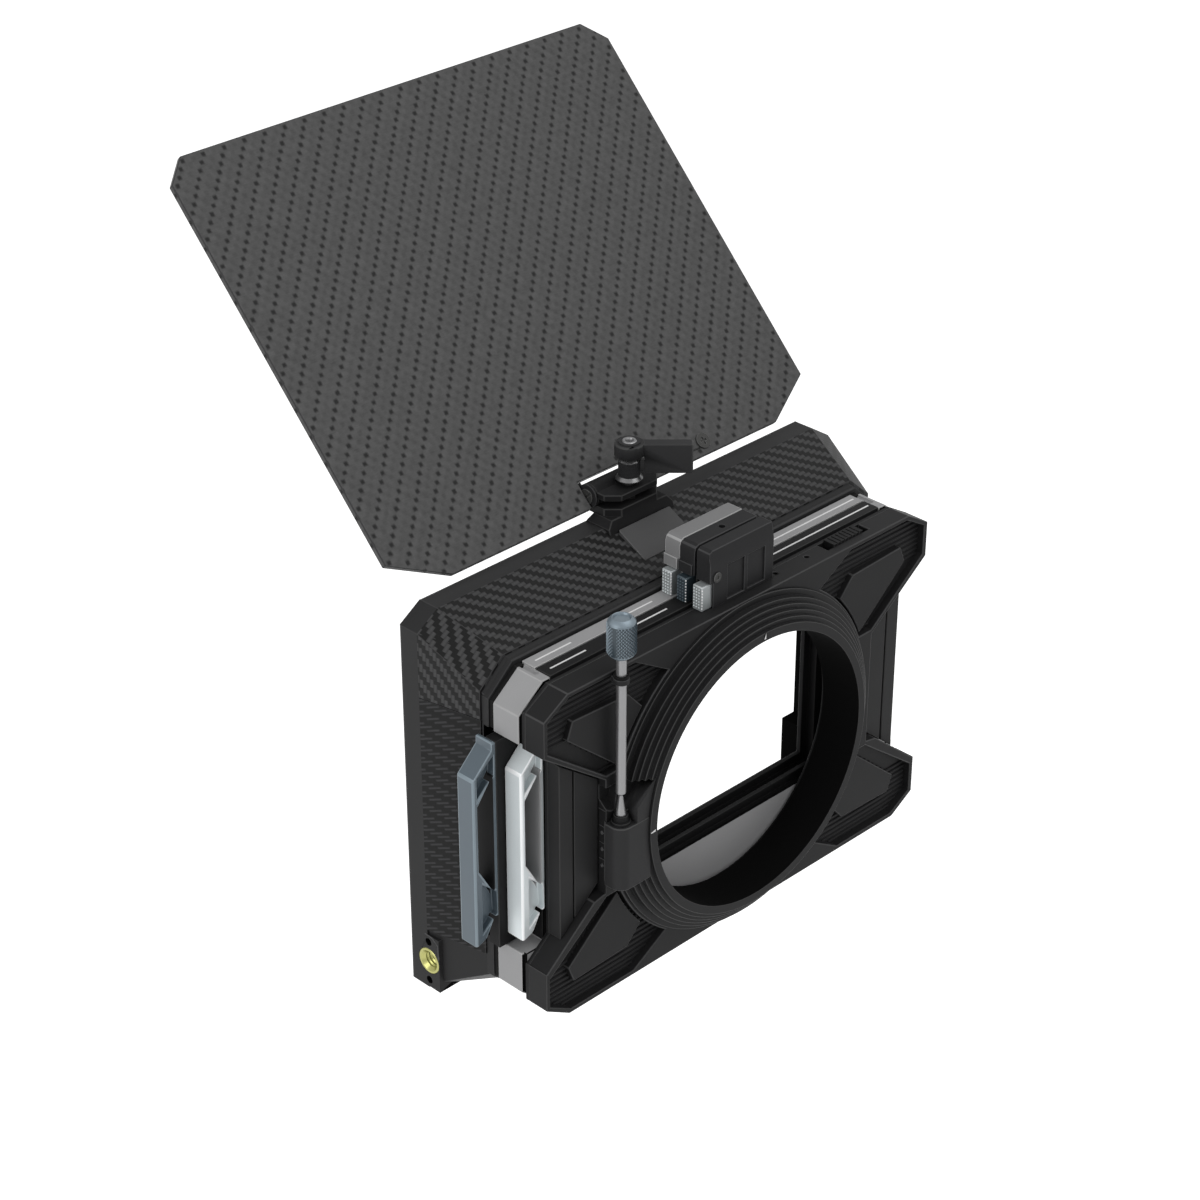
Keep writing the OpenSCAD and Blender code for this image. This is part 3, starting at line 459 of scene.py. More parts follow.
class Look(Enum):
    """The finishes of this part."""

    # Each finish's edge colour is a painted highlight on its rounded edges that stand out.
    BLACK = Finish("black_coat", "black_alloy", (0.0225, 0.0225, 0.0235), shine=0.1,
                   edge=(0.06, 0.06, 0.062))
    # A lighter copy of the black coat: painted light that makes up for the flag's shadow on the hood's rim.
    HOOD = Finish("hood_black", "black_alloy", (0.026, 0.026, 0.0265), shine=0.1,
                  edge=(0.045, 0.045, 0.046))
    LEVER = Finish("lever_black", "black_alloy", (0.036, 0.036, 0.037), shine=0.1, edge=(0.06, 0.06, 0.06))
    PLATE = Finish("plate_black", "black_alloy", (0.0165, 0.0165, 0.017), shine=0.1,
                   edge=(0.062, 0.062, 0.063))
    RING = Finish("ring_black", "dark_alloy", (0.0155, 0.0155, 0.016), 0.45, shine=0.1,
                  edge=(0.06, 0.06, 0.06))
    DARK = Finish("deep_black", "dark_alloy", (0.0145, 0.0145, 0.015), shine=0.08, edge=(0.04, 0.04, 0.04))
    HOUSING = Finish("housing_black", "dark_alloy", (0.031, 0.031, 0.032), shine=0.1,
                     edge=(0.075, 0.075, 0.075))
    WALL = Finish("recess_black", "dark_alloy", (0.022, 0.022, 0.0225), shine=0.1, edge=(0.05, 0.05, 0.05))
    # Matt black inside the hood and in the frame's light path; the same colour is painted shade in the
    # frame's top groove and rear band and inside the lens ring's bore.
    MATT_AND_SHADE = Finish("matt_black_and_shade", "black_alloy", (0.005, 0.005, 0.005), 0.85, shine=0.02,
                  edge=(0.01, 0.01, 0.01))
    # Lighter black of bars and dots on edges and small marks: painted highlights.
    LIT = Finish("lit_edge", "black_alloy", (0.075, 0.075, 0.077), 0.4, shine=0.2)
    PANEL = Finish("panel_coat", "panel_grey", (0.072, 0.072, 0.073), shine=0.15, edge=(0.13, 0.13, 0.13))
    GREY = Finish("stage_grey", "grey_alloy", (0.345, 0.345, 0.35), 0.55, shine=0.25,
                  edge=(0.42, 0.42, 0.42))
    LOCK = Finish("lock_grey", "grey_alloy", (0.215, 0.215, 0.217), 0.55, shine=0.25, edge=(0.4, 0.4, 0.4))
    SILVER = Finish("silver_satin", "silver_alloy", (0.76, 0.815, 0.83), 0.36, 0.2, edge=(0.93, 0.95, 0.96))
    BUTTON = Finish("button_silver", "silver_alloy", (0.36, 0.385, 0.39), 0.36, 0.2, edge=(0.5, 0.53, 0.54))
    # Dark blue of the middle button; on the knob's barrel it is painted shade between the studs.
    SLATE = Finish("button_blue", "blue_alloy", (0.03, 0.045, 0.056), 0.36, 0.2, edge=(0.07, 0.095, 0.11))
    BLUE = Finish("blue_satin", "blue_alloy", (0.087, 0.115, 0.138), 0.36, 0.2, edge=(0.2, 0.25, 0.285))
    KNOB = Finish("knob_satin", "blue_alloy", (0.19, 0.235, 0.27), 0.36, 0.45, edge=(0.5, 0.56, 0.6))
    STEEL = TurnedFinish("turned_steel", "steel", (0.27, 0.27, 0.275), 0.3, 0.65, grain=0.002)
    # Bright turned steel for the stem's rings, which are painted highlights on the black stem.
    GLINT = TurnedFinish("glint_steel", "steel", (0.16, 0.16, 0.162), 0.22, 0.85, grain=0.002)
    DARK_STEEL = Finish("screw_steel", "dark_steel", (0.05, 0.05, 0.048), 0.45, 0.2, 0.2,
                        edge=(0.12, 0.12, 0.12))
    BRASS = TurnedFinish("turned_brass", "brass", (0.38, 0.375, 0.14), 0.24, 1.0,
                         grain=0.003, axis=(1.0, 0.0, 0.0))
    BRONZE = TurnedFinish("turned_bronze", "bronze", (0.3, 0.22, 0.1), 0.34, 1.0, grain=0.003)
    RUBBER = Finish("soft_rubber", "rubber", (0.006, 0.006, 0.006), 0.7, shine=0.1, grain=0.02,
                    edge=(0.012, 0.012, 0.012))
    WHITE = Finish("index_white", "white_paint", (0.82, 0.82, 0.82), grain=0.004)
    FLAG_TWILL = SpottedTwillFinish(
        "flag_twill", "carbon", (0.092, 0.092, 0.092), 0.45, shine=0.1, grain=0.05,
        along=(0.0, -math.cos(FLAG_TILT), math.sin(FLAG_TILT)))
    HOOD_TWILL = TwillFinish("hood_twill", "carbon", (0.064, 0.064, 0.065), 0.45, shine=0.1, grain=0.05)
    SIDE_THREADS = ThreadFinish("side_threads", "carbon", (0.04, 0.04, 0.042), shine=0.1, grain=0.04)


def edge_room(edge: bmesh.types.BMEdge, reach: float) -> float:
    """Distance from an edge to the nearest other edge of its two faces.

    Args:
        edge: The edge.
        reach: Distance in metres past which nothing is looked at.

    Returns:
        The distance in metres, or the reach where nothing is nearer.
    """
    room = reach
    own = [v.co for v in edge.verts]
    middle = (own[0] + own[1]) / 2
    half = (own[1] - own[0]).length / 2
    for other in {other for face in edge.link_faces for other in face.edges if other is not edge}:
        ends = [v.co for v in other.verts]
        if ((ends[0] + ends[1]) / 2 - middle).length > half + (ends[1] - ends[0]).length / 2 + room:
            continue
        joint = next((v for v in other.verts if v in edge.verts), None)
        if joint:
            line = other.other_vert(joint).co - joint.co
            bend = line.angle(edge.other_vert(joint).co - joint.co, math.pi)
            if bend < math.radians(75.0):
                room = min(room, line.length * math.sin(bend))
            continue
        for spot, (start, end) in ((own[0], ends), (own[1], ends), (ends[0], own), (ends[1], own)):
            share = intersect_point_line(spot, start, end)[1]
            near = start.lerp(end, min(max(share, 0.0), 1.0))
            room = min(room, (spot - near).length)
    return room


class Bench:
    """Makes meshes into pieces that ride on the model's bodies.

    Attributes:
        share_of_room: Most of the space beside an edge that its rounding takes.
        hollow_share: Share of the width that an edge in a hollow gets.
        round_above: Edges that turn more than this are rounded, in degrees.
        merge_within: Points closer than this are merged, in millimetres.
        flat_within: Faces that turn less than this are joined, in degrees.
        smooth_below: Edges that turn less than this are shaded smooth, in degrees.
        smooth_below_on_rounds: The same for the edges inside a rounding.
        crease_above: Turned pieces keep edges that turn more than this sharp, in degrees.
    """

    share_of_room = 0.36
    hollow_share = 0.4
    round_above = 28.0
    merge_within = 0.004
    flat_within = 0.4
    smooth_below = 24.0
    smooth_below_on_rounds = 50.0
    crease_above = 30.0

    def __init__(self, frame: dict) -> None:
        """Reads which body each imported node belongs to.

        Args:
            frame: What the frame holds, as it was loaded.
        """
        self.nodes = frame["nodes"]
        self.body_of = {}
        for body, members in frame["record"]["behaviour"]["bodies"].items():
            for node in members:
                self.body_of[node] = body
        self.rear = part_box("back_plate")[1].y

    def at(self, x: float, y: float, z: float) -> Vector:
        """A place in metres from millimetres, with y from the back plate's rear face."""
        return Vector((x * MM, y * MM + self.rear, z * MM))

    def span(self, node: str) -> tuple[Vector, Vector]:
        """A node's lowest and highest corner in millimetres, with y from the plate's rear face.

        Args:
            node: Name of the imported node.

        Returns:
            The lowest and the highest corner.
        """
        low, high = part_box(node)
        shift = Vector((0.0, self.rear, 0.0))
        return (low - shift) / MM, (high - shift) / MM

    def dress(self, node: str, look: Look) -> None:
        """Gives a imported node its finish.

        Args:
            node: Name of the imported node.
            look: The finish.
        """
        slots = self.nodes[node].material_slots
        for slot in slots:
            slot.material = look.value.material()
        if not slots:
            self.nodes[node].data.materials.append(look.value.material())

    def new(self, name: str, mesh: bpy.types.Mesh) -> bpy.types.Object:
        """Links a new object that holds a mesh.

        Args:
            name: Name of the object.
            mesh: Its mesh.

        Returns:
            The object.
        """
        piece = bpy.data.objects.new(name, mesh)
        bpy.context.scene.collection.objects.link(piece)
        return piece

    def settle(self, piece: bpy.types.Object) -> None:
        """Turns a piece's modifiers into its plain mesh.

        Args:
            piece: The object with its modifiers.
        """
        bpy.context.view_layer.update()
        graph = bpy.context.evaluated_depsgraph_get()
        mesh = bpy.data.meshes.new_from_object(piece.evaluated_get(graph), depsgraph=graph)
        piece.modifiers.clear()
        raw = piece.data
        piece.data = mesh
        bpy.data.meshes.remove(raw)
        mesh.name = piece.name

    def foot(self, node: str) -> tuple[Vector, float, float]:
        """The middle of a round node's foot in metres, with its radius and height in millimetres.

        Args:
            node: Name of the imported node.

        Returns:
            The middle, the radius and the height.
        """
        low, high = self.span(node)
        centre = self.at((low.x + high.x) / 2, (low.y + high.y) / 2, low.z)
        return centre, (high.x - low.x) / 2, high.z - low.z

    def shape(self, name: str, form: bmesh.types.BMesh) -> bpy.types.Object:
        """Makes an object of a closed form, with its faces turned outwards.

        Args:
            name: Name of the object.
            form: The form, which is used up.

        Returns:
            The object.
        """
        bmesh.ops.recalc_face_normals(form, faces=form.faces)
        mesh = bpy.data.meshes.new(name)
        form.to_mesh(mesh)
        form.free()
        return self.new(name, mesh)

    def cut(self, piece: bpy.types.Object, cutter: bpy.types.Object) -> None:
        """Takes a cutter's form out of a piece, and the cutter out of the scene.

        Args:
            piece: The object that is cut.
            cutter: The object whose form is taken out.
        """
        cut = piece.modifiers.new("cut", "BOOLEAN")
        cut.operation = "DIFFERENCE"
        cut.solver = "EXACT"
        cut.object = cutter
        self.settle(piece)
        bpy.data.objects.remove(cutter)

    def fit(self, piece: bpy.types.Object, look: Look, body: str,
            replaced: Iterable[str] = ()) -> bpy.types.Object:
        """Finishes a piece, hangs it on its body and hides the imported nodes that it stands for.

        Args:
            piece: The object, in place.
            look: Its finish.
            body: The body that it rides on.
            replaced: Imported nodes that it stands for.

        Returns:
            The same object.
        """
        if not piece.data.materials:
            piece.data.materials.append(look.value.material())
        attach(piece, body)
        if replaced:
            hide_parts(*replaced)
        log.info("%s rides on %s, %d faces", piece.name, body, len(piece.data.polygons))
        return piece

    def weigh_edges(self, form: bmesh.types.BMesh, width: float, long: float, short_share: float,
                    crisp: tuple[float, float]) -> None:
        """Gives each sharp edge its share of a rounding, less in hollows and where edges run close.

        Args:
            form: The form whose edges are weighed.
            width: Width of the rounding in millimetres.
            long: Edges shorter than this, in millimetres, are rounded less.
            short_share: Share of the width that short edges get.
            crisp: Two depths in millimetres between which no edge is rounded.
        """
        weights = form.edges.layers.float.new("bevel_weight_edge")
        for edge in form.edges:
            sharp = len(edge.link_faces) == 2 and edge.calc_face_angle(0.0) > math.radians(self.round_above)
            depths = [(v.co.y - self.rear) / MM for v in edge.verts]
            if not sharp or all(crisp[0] < depth < crisp[1] for depth in depths):
                continue
            share = 1.0 if edge.calc_length() >= long * MM else short_share
            if not edge.is_convex:
                share *= self.hollow_share
            reach = share * width * MM / self.share_of_room
            edge[weights] = share * edge_room(edge, reach) / reach

    def soften(self, node: str, look: Look, width: float = 0.3, segments: int = 2, long: float = 0.0,
               short_share: float = 0.25, inner: "Inner | None" = None, flat: "FlatMap | None" = None,
               crisp: tuple[float, float] = (0.0, 0.0)) -> bpy.types.Object:
        """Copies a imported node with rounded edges, in its place.

        Args:
            node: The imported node.
            look: The copy's finish.
            width: Width of the rounding in millimetres, less where edges run close together.
            segments: Faces across the rounding.
            long: Edges shorter than this, in millimetres, are rounded less.
            short_share: Share of the width that short edges get.
            inner: A second finish for some of the faces.
            flat: A flat map that is laid over the copy.
            crisp: Two depths in millimetres between which no edge is rounded.

        Returns:
            The piece that stands for the node.
        """
        mesh = self.nodes[node].data.copy()
        form = bmesh.new()
        form.from_mesh(mesh)
        bmesh.ops.remove_doubles(form, verts=form.verts, dist=self.merge_within * MM)
        bmesh.ops.dissolve_limit(form, angle_limit=math.radians(self.flat_within), verts=form.verts,
                                 edges=form.edges)
        bmesh.ops.connect_verts_concave(form, faces=[face for face in form.faces if len(face.verts) > 4])
        self.weigh_edges(form, width, long, short_share, crisp)
        form.to_mesh(mesh)
        form.free()
        if mesh.attributes.get("custom_normal"):
            mesh.attributes.remove(mesh.attributes["custom_normal"])
        piece = self.new(f"{node}_soft", mesh)
        mesh.materials.clear()
        mesh.materials.append(look.value.material())
        # Second material: the lighter edge colour, a painted highlight on the rounded edges.
        mesh.materials.append(look.value.edge_highlight_material())
        self.round_edges(piece, width, segments)
        if inner:
            inner.lay(self, piece)
        if flat:
            flat.lay(piece)
        return self.fit(piece, look, self.body_of[node], [node])

    def round_edges(self, piece: bpy.types.Object, width: float, segments: int = 2) -> None:
        """Rounds a piece's weighted edges, with its second finish, a painted highlight, on those that stand
        out.

        Args:
            piece: The object, with a weight on each edge.
            width: Width of the rounding in millimetres at full weight.
            segments: Faces across the rounding.
        """
        piece.data.shade_smooth()
        rounding = piece.modifiers.new("rounding", "BEVEL")
        rounding.width = width * MM
        rounding.segments = segments
        rounding.limit_method = "WEIGHT"
        rounding.material = 1
        rounding.use_clamp_overlap = False
        self.settle(piece)
        form = bmesh.new()
        form.from_mesh(piece.data)
        hollow = []
        for edge in form.edges:
            rounded = {face.material_index for face in edge.link_faces}
            limit = math.radians(self.smooth_below_on_rounds if rounded == {1} else self.smooth_below)
            edge.smooth = len(rounded) == 1 and edge.calc_face_angle(math.pi) < limit
        # Rounds in hollows go back to the first finish, so the painted highlight stays on edges that stand
        # out.
        for face in form.faces:
            bend = sum(edge.calc_face_angle_signed(0.0) * edge.calc_length() for edge in face.edges)
            if face.material_index == 1 and bend <= 0.0:
                hollow.append(face)
        for face in hollow:
            face.material_index = 0
        form.to_mesh(piece.data)
        form.free()

    def prism(self, name: str, outline: Outline, rear: float, front: float) -> bpy.types.Object:
        """Extrudes an outline in X and Z between two depths.

        Args:
            name: Name of the piece.
            outline: Corners in X and Z, in millimetres.
            rear: Depth that the outline starts at, in millimetres.
            front: Depth that it ends at, in millimetres.

        Returns:
            The extruded object.
        """
        form = bmesh.new()
        ring = [form.verts.new(self.at(x, rear, z)) for x, z in outline]
        face = form.faces.new(ring)
        made = bmesh.ops.extrude_face_region(form, geom=[face])
        moved = [v for v in made["geom"] if isinstance(v, bmesh.types.BMVert)]
        bmesh.ops.translate(form, verts=moved, vec=Vector((0.0, (front - rear) * MM, 0.0)))
        return self.shape(name, form)

    def lathe(self, name: str, profile: Outline, centre: Vector, axis: Vector = UP,
              steps: int = 40) -> bpy.types.Object:
        """Turns a profile round an axis.

        Args:
            name: Name of the piece.
            profile: Radius and height of each point in millimetres, closed on the axis or to a ring.
            centre: Foot of the axis in metres.
            axis: Direction of the axis.
            steps: Faces round the turn.

        Returns:
            The turned object.
        """
        form = bmesh.new()
        turn = axis.to_track_quat("Z", "Y").to_matrix()
        points = [form.verts.new(centre + turn @ Vector((r * MM, 0.0, h * MM))) for r, h in profile]
        lines = [form.edges.new(pair) for pair in zip(points, points[1:])]
        bmesh.ops.spin(form, geom=points + lines, cent=centre, axis=axis, angle=2 * math.pi, steps=steps,
                       use_merge=True)
        bmesh.ops.remove_doubles(form, verts=form.verts, dist=self.merge_within / 2 * MM)
        turned = self.shape(name, form)
        turned.data.shade_smooth()
        turned.data.set_sharp_from_angle(angle=math.radians(self.crease_above))
        return turned


@dataclass(frozen=True)
class Inner:
    """A second finish for the faces whose middle lies in one of some boxes, or near the bore's axis.

    Attributes:
        look: The second finish.
        boxes: Lowest and highest corner of each box, in millimetres.
        bore: Radius round the bore's axis, in millimetres.
        bore_end: Depth up to which the bore counts, in millimetres.
        inward: Whether faces that look away from the bore's axis keep the first finish.
        frontal: Faces whose normal points to the front by this much don't count as looking away.
    """

    look: Look
    boxes: tuple[tuple[Place, Place], ...] = ()
    bore: float = 0.0
    bore_end: float = 0.0
    inward: bool = False
    frontal: float = 0.9

    def lay(self, bench: Bench, piece: bpy.types.Object) -> None:
        """Gives the faces in the boxes the second finish.

        Args:
            bench: The bench, which knows where depth is counted from.
            piece: The object.
        """
        piece.data.materials.append(self.look.value.material())
        place = len(piece.data.materials) - 1
        for face in piece.data.polygons:
            spot = (face.center - Vector((0.0, bench.rear, 0.0))) / MM
            boxed = any(all(a <= value <= b for a, value, b in zip(low, spot, high))
                        for low, high in self.boxes)
            outward = face.normal.x * spot.x + face.normal.z * spot.z > 0.0
            outward = outward and face.normal.y > -self.frontal
            bored = math.hypot(spot.x, spot.z) < self.bore and spot.y < self.bore_end
            if bored or (boxed and not (self.inward and outward)):
                face.material_index = place


@dataclass(frozen=True)
class FlatMap:
    """A map that unrolls the hood's skin round its two upper and two lower corners.

    Attributes:
        corner: Where the level wall turns into the slope of the corner, in millimetres.
        turn: Where the slope turns into the upright wall, in millimetres.
        slope: Length along the wall for each millimetre of depth.
        level_below: Faces whose normal leans sideways by less than this are level.
        upright_above: Faces whose normal leans sideways by more than this are upright.
        flat_above: Faces whose normal points across the depth by less than this count as level.
    """

    corner: tuple[float, float]
    turn: tuple[float, float]
    slope: float = 1.09
    level_below: float = 0.3
    upright_above: float = 0.9
    flat_above: float = 0.05

    def lay(self, piece: bpy.types.Object) -> None:
        """Writes length round the outline and distance toward the front, in millimetres.

        Args:
            piece: The object.
        """
        layer = piece.data.uv_layers.new(name="weave")
        bend = Vector(self.corner)
        end = Vector(self.turn)
        reach = bend.x + (end - bend).length
        for face in piece.data.polygons:
            out = Vector((face.normal.x, face.normal.z))
            out = out.normalized() if out.length > self.flat_above else Vector((0.0, 1.0))
            side = 1.0 if out.x >= 0.0 else -1.0
            up = 1.0 if out.y >= 0.0 else -1.0
            along = Vector((abs(out.y), -abs(out.x)))
            shift = 0.0
            if abs(out.x) > self.upright_above:
                shift = reach - end.dot(along)
            elif abs(out.x) > self.level_below:
                shift = bend.x - bend.dot(along)
            for loop in face.loop_indices:
                spot = piece.data.vertices[piece.data.loops[loop].vertex_index].co / MM
                if shift == 0.0:
                    run = -spot.x
                else:
                    run = side * (Vector((side * spot.x, up * spot.z)).dot(along) + shift)
                layer.data[loop].uv = (run, -spot.y * self.slope)


class Pattern(Graph):
    """A Geometry Nodes tree with named inputs for its sizes."""

    def __init__(self, name: str, inputs: dict[str, str]) -> None:
        """Makes the tree and its inputs.

        Args:
            name: Name of the tree.
            inputs: Socket type of each input by its name, after the geometry.
        """
        group = bpy.data.node_groups.new(name, "GeometryNodeTree")
        super().__init__(group)
        group.interface.new_socket("Geometry", in_out="OUTPUT", socket_type="NodeSocketGeometry")
        group.interface.new_socket("Geometry", in_out="INPUT", socket_type="NodeSocketGeometry")
        for label, kind in inputs.items():
            group.interface.new_socket(label, in_out="INPUT", socket_type=kind)
        group.interface.new_socket("Finish", in_out="INPUT", socket_type="NodeSocketMaterial")
        self.entry = self.tree.nodes.new("NodeGroupInput")

    def given(self, label: str) -> Wire:
        """One of the tree's inputs."""
        return Wire(self, self.entry.outputs[label])

    def end(self, shape: Wire) -> None:
        """Ends the tree in realized instances with the finish set.

        Args:
            shape: What the tree has made.
        """
        real = self.add("GeometryNodeRealizeInstances", None, {"Geometry": shape})
        dressed = self.add("GeometryNodeSetMaterial", None,
                           {"Geometry": real, "Material": self.given("Finish")})
        out = self.tree.nodes.new("NodeGroupOutput")
        self.tree.links.new(dressed.socket, out.inputs[0])

    def run(self, bench: Bench, piece: bpy.types.Object, look: Look, **values: object) -> None:
        """Applies the tree to a piece and keeps the plain mesh.

        Args:
            bench: The bench that settles the result.
            piece: The object that carries the modifier.
            look: The finish of what is made.
            **values: The tree's inputs, with underscores for spaces.
        """
        modifier = piece.modifiers.new("pattern", "NODES")
        modifier.node_group = self.tree
        given = {name.replace("_", " "): value for name, value in values.items()}
        given["Finish"] = look.value.material()
        for item in self.tree.interface.items_tree:
            if item.item_type == "SOCKET" and item.in_out == "INPUT" and item.name in given:
                modifier[item.identifier] = given[item.name]
        bench.settle(piece)


class BarPattern(Pattern):
    """Lays one bar along each edge of a mesh, six-sided and closed at its ends."""

    def __init__(self) -> None:
        """Builds the tree."""
        super().__init__("bars_on_edges", {"Radius": "NodeSocketFloat", "Sides": "NodeSocketInt"})
        path = self.add("GeometryNodeMeshToCurve", None, {"Mesh": self.given("Geometry")})
        round_ = self.add("GeometryNodeCurvePrimitiveCircle", None,
                          {"Resolution": self.given("Sides"), "Radius": self.given("Radius")})
        self.end(self.add("GeometryNodeCurveToMesh", None,
                          {"Curve": path, "Profile Curve": round_, "Fill Caps": True}))

    def lay(self, bench: Bench, name: str, paths: Iterable[Sequence[Vector]], radius: float,
            look: Look) -> None:
        """Lays bars along paths and fits them to the box.

        Args:
            bench: The bench that makes the piece.
            name: Name of the piece.
            paths: Points of each path in metres.
            radius: Radius of the bars in millimetres.
            look: Their finish.
        """
        points = []
        edges = []
        for path in paths:
            first = len(points)
            points += path
            edges += [(first + step, first + step + 1) for step in range(len(path) - 1)]
        piece = bench.new(name, point_mesh(name, points, edges))
        self.run(bench, piece, look, Radius=radius * MM, Sides=6)
        bench.fit(piece, look, "box")


class StudPattern(Pattern):
    """Sets small four-sided studs in staggered rows round an upright barrel."""

    def __init__(self) -> None:
        """Builds the tree."""
        super().__init__("studs_on_barrel", {
            "Radius": "NodeSocketFloat", "Height": "NodeSocketFloat", "Around": "NodeSocketInt",
            "Rows": "NodeSocketInt", "Stud": "NodeSocketFloat", "Foot": "NodeSocketVector"})
        grid = self.add("GeometryNodeMeshGrid", None, {
            "Size X": 1.0, "Size Y": 1.0,
            "Vertices X": self.given("Around"), "Vertices Y": self.given("Rows")})
        spot = self.add("GeometryNodeInputPosition")
        across = self.add("ShaderNodeSeparateXYZ", None, {0: spot})
        up = Wire(self, across.socket.node.outputs[1])
        count = self.given("Around")
        rows = self.given("Rows")
        row = ((up + 0.5) * (rows - 1.0) + 0.25).floor()
        column = (across + 0.5) * (count - 1.0)
        angle = (column + (row % 2.0) * 0.5) * (2 * math.pi) / count
        radius = self.given("Radius")
        place = self.add("ShaderNodeCombineXYZ", None, {
            0: radius * angle.cosine(), 1: radius * angle.sine(),
            2: row / (rows - 1.0) * self.given("Height")})
        moved = self.add("ShaderNodeVectorMath", {"operation": "ADD"}, {0: place, 1: self.given("Foot")})
        points = self.add("GeometryNodeSetPosition", None, {"Geometry": grid, "Position": moved})
        stud = self.add("GeometryNodeMeshCone", None, {
            "Vertices": 4, "Radius Top": self.given("Stud") * 0.25, "Radius Bottom": self.given("Stud"),
            "Depth": self.given("Stud") * 0.7})
        outward = self.add("ShaderNodeCombineXYZ", None, {0: angle.cosine(), 1: angle.sine(), 2: 0.0})
        turn = self.add("FunctionNodeAlignRotationToVector", {"axis": "Z"}, {"Vector": outward})
        self.end(self.add("GeometryNodeInstanceOnPoints", None, {
            "Points": points, "Instance": stud, "Rotation": turn}))


class DotPattern(Pattern):
    """Sets a low four-sided dot on every point of a mesh, pointing one way."""

    def __init__(self) -> None:
        """Builds the tree."""
        super().__init__("dots_on_points", {
            "Dot": "NodeSocketFloat", "Rise": "NodeSocketFloat", "Toward": "NodeSocketVector"})
        dot = self.add("GeometryNodeMeshCone", None, {
            "Vertices": 4, "Radius Top": self.given("Dot") * 0.35, "Radius Bottom": self.given("Dot"),
            "Depth": self.given("Rise")})
        turn = self.add("FunctionNodeAlignRotationToVector", {"axis": "Z"}, {"Vector": self.given("Toward")})
        self.end(self.add("GeometryNodeInstanceOnPoints", None, {
            "Points": self.given("Geometry"), "Instance": dot, "Rotation": turn}))

    def lay(self, bench: Bench, name: str, points: Iterable[Vector], looks: tuple[Look, Look], body: str,
            dot: float, rise: float, toward: Vector = OUTWARD) -> None:
        """Sets dots on points and fits them to a body.

        Args:
            bench: The bench that makes the piece.
            name: Name of the piece.
            points: The points in metres.
            looks: The dots' own finish, and a second one that goes unused, as the dots already carry the
                first.
            body: The body that they ride on.
            dot: Half the width of a dot in millimetres.
            rise: Its height in millimetres.
            toward: Direction that it points in.
        """
        piece = bench.new(name, point_mesh(name, points))
        self.run(bench, piece, looks[0], Dot=dot * MM, Rise=rise * MM, Toward=toward)
        bench.fit(piece, looks[1], body)


def point_mesh(name: str, points: Iterable[Vector], edges: Iterable[tuple[int, int]] = ()) -> bpy.types.Mesh:
    """A mesh of loose points, with edges where they are given.

    Args:
        name: Name of the mesh.
        points: The points in metres.
        edges: The two ends of each edge, as places in the list of points.

    Returns:
        The mesh.
    """
    mesh = bpy.data.meshes.new(name)
    mesh.from_pydata(list(points), list(edges), [])
    return mesh


@dataclass
class Hood:
    """The hood with its carbon skins, seal and accessory inserts."""

    bench: Bench
    bars: BarPattern
    rim_round: float = 0.9
    rim_step: tuple[float, float] = (-49.4, -48.6)
    inside: tuple[Place, Place] = ((-91.0, -56.9, -69.5), (91.0, -23.6, 70.0))
    skin_corner: tuple[tuple[float, float], tuple[float, float]] = ((81.7, 65.7), (91.0, 58.5))
    thread_pitch: float = 1.27
    thread_depth: float = 0.55
    insert_wall: float = 1.525
    insert_depth: float = 8.0
    insert_chamfer: float = 0.6
    insert_rim: float = 0.25
    boss_face: float = 93.45
    boss_edge: Outline = ((-50.1, -45.9), (-46.6, -46.1), (-44.2, -48.0), (-43.9, -53.3))

    def build(self) -> None:
        """Builds and dresses the hood."""
        soften = self.bench.soften
        soften("hood_shell", Look.HOOD, self.rim_round, 3, long=60.0, short_share=0.2,
               inner=Inner(Look.MATT_AND_SHADE, (self.inside,), inward=True), crisp=self.rim_step)
        for wall in ("top", "bottom"):
            soften(f"hood_skin_{wall}", Look.HOOD_TWILL, 0.12, 1, flat=FlatMap(*self.skin_corner))
        for wall in ("left", "right"):
            soften(f"hood_skin_{wall}", Look.SIDE_THREADS, 0.12, 1)
        soften("hood_gasket", Look.RUBBER, 0.25, 1)
        self.inserts()
        self.boss_edges()

    def boss_edges(self) -> None:
        """Lays a bar in the lighter LIT colour round each accessory boss, a painted highlight on its edge."""
        paths = [[self.bench.at(side * self.boss_face, y, z) for y, z in self.boss_edge] for side in SIDES]
        self.bars.lay(self.bench, "boss_edges", paths, 0.25, Look.LIT)

    def inserts(self) -> None:
        """Turns the two brass inserts with their threads."""
        low, high = self.bench.span("boss_inserts")
        outer = (high.z - low.z) / 2
        bore = outer - self.insert_wall
        crest = bore - self.thread_depth
        depth = self.insert_depth
        profile = [(outer, 0.0), (outer, depth - self.insert_rim), (outer - self.insert_rim, depth),
                   (bore + self.insert_chamfer, depth), (bore, depth - self.insert_chamfer)]
        height = depth - self.insert_chamfer
        while height > self.thread_pitch:
            profile.append((crest, height - self.thread_pitch * 0.45))
            profile.append((crest, height - self.thread_pitch * 0.6))
            height -= self.thread_pitch
            profile.append((bore, height))
        profile += [(bore, 0.0), (outer, 0.0)]
        for side in SIDES:
            foot = self.bench.at(side * (high.x - depth), (low.y + high.y) / 2, (low.z + high.z) / 2)
            label = "left" if side > 0 else "right"
            piece = self.bench.lathe(f"boss_insert_{label}", profile, foot, side * OUTWARD)
            self.bench.fit(piece, Look.BRASS, "box", ["boss_inserts"] if side > 0 else [])


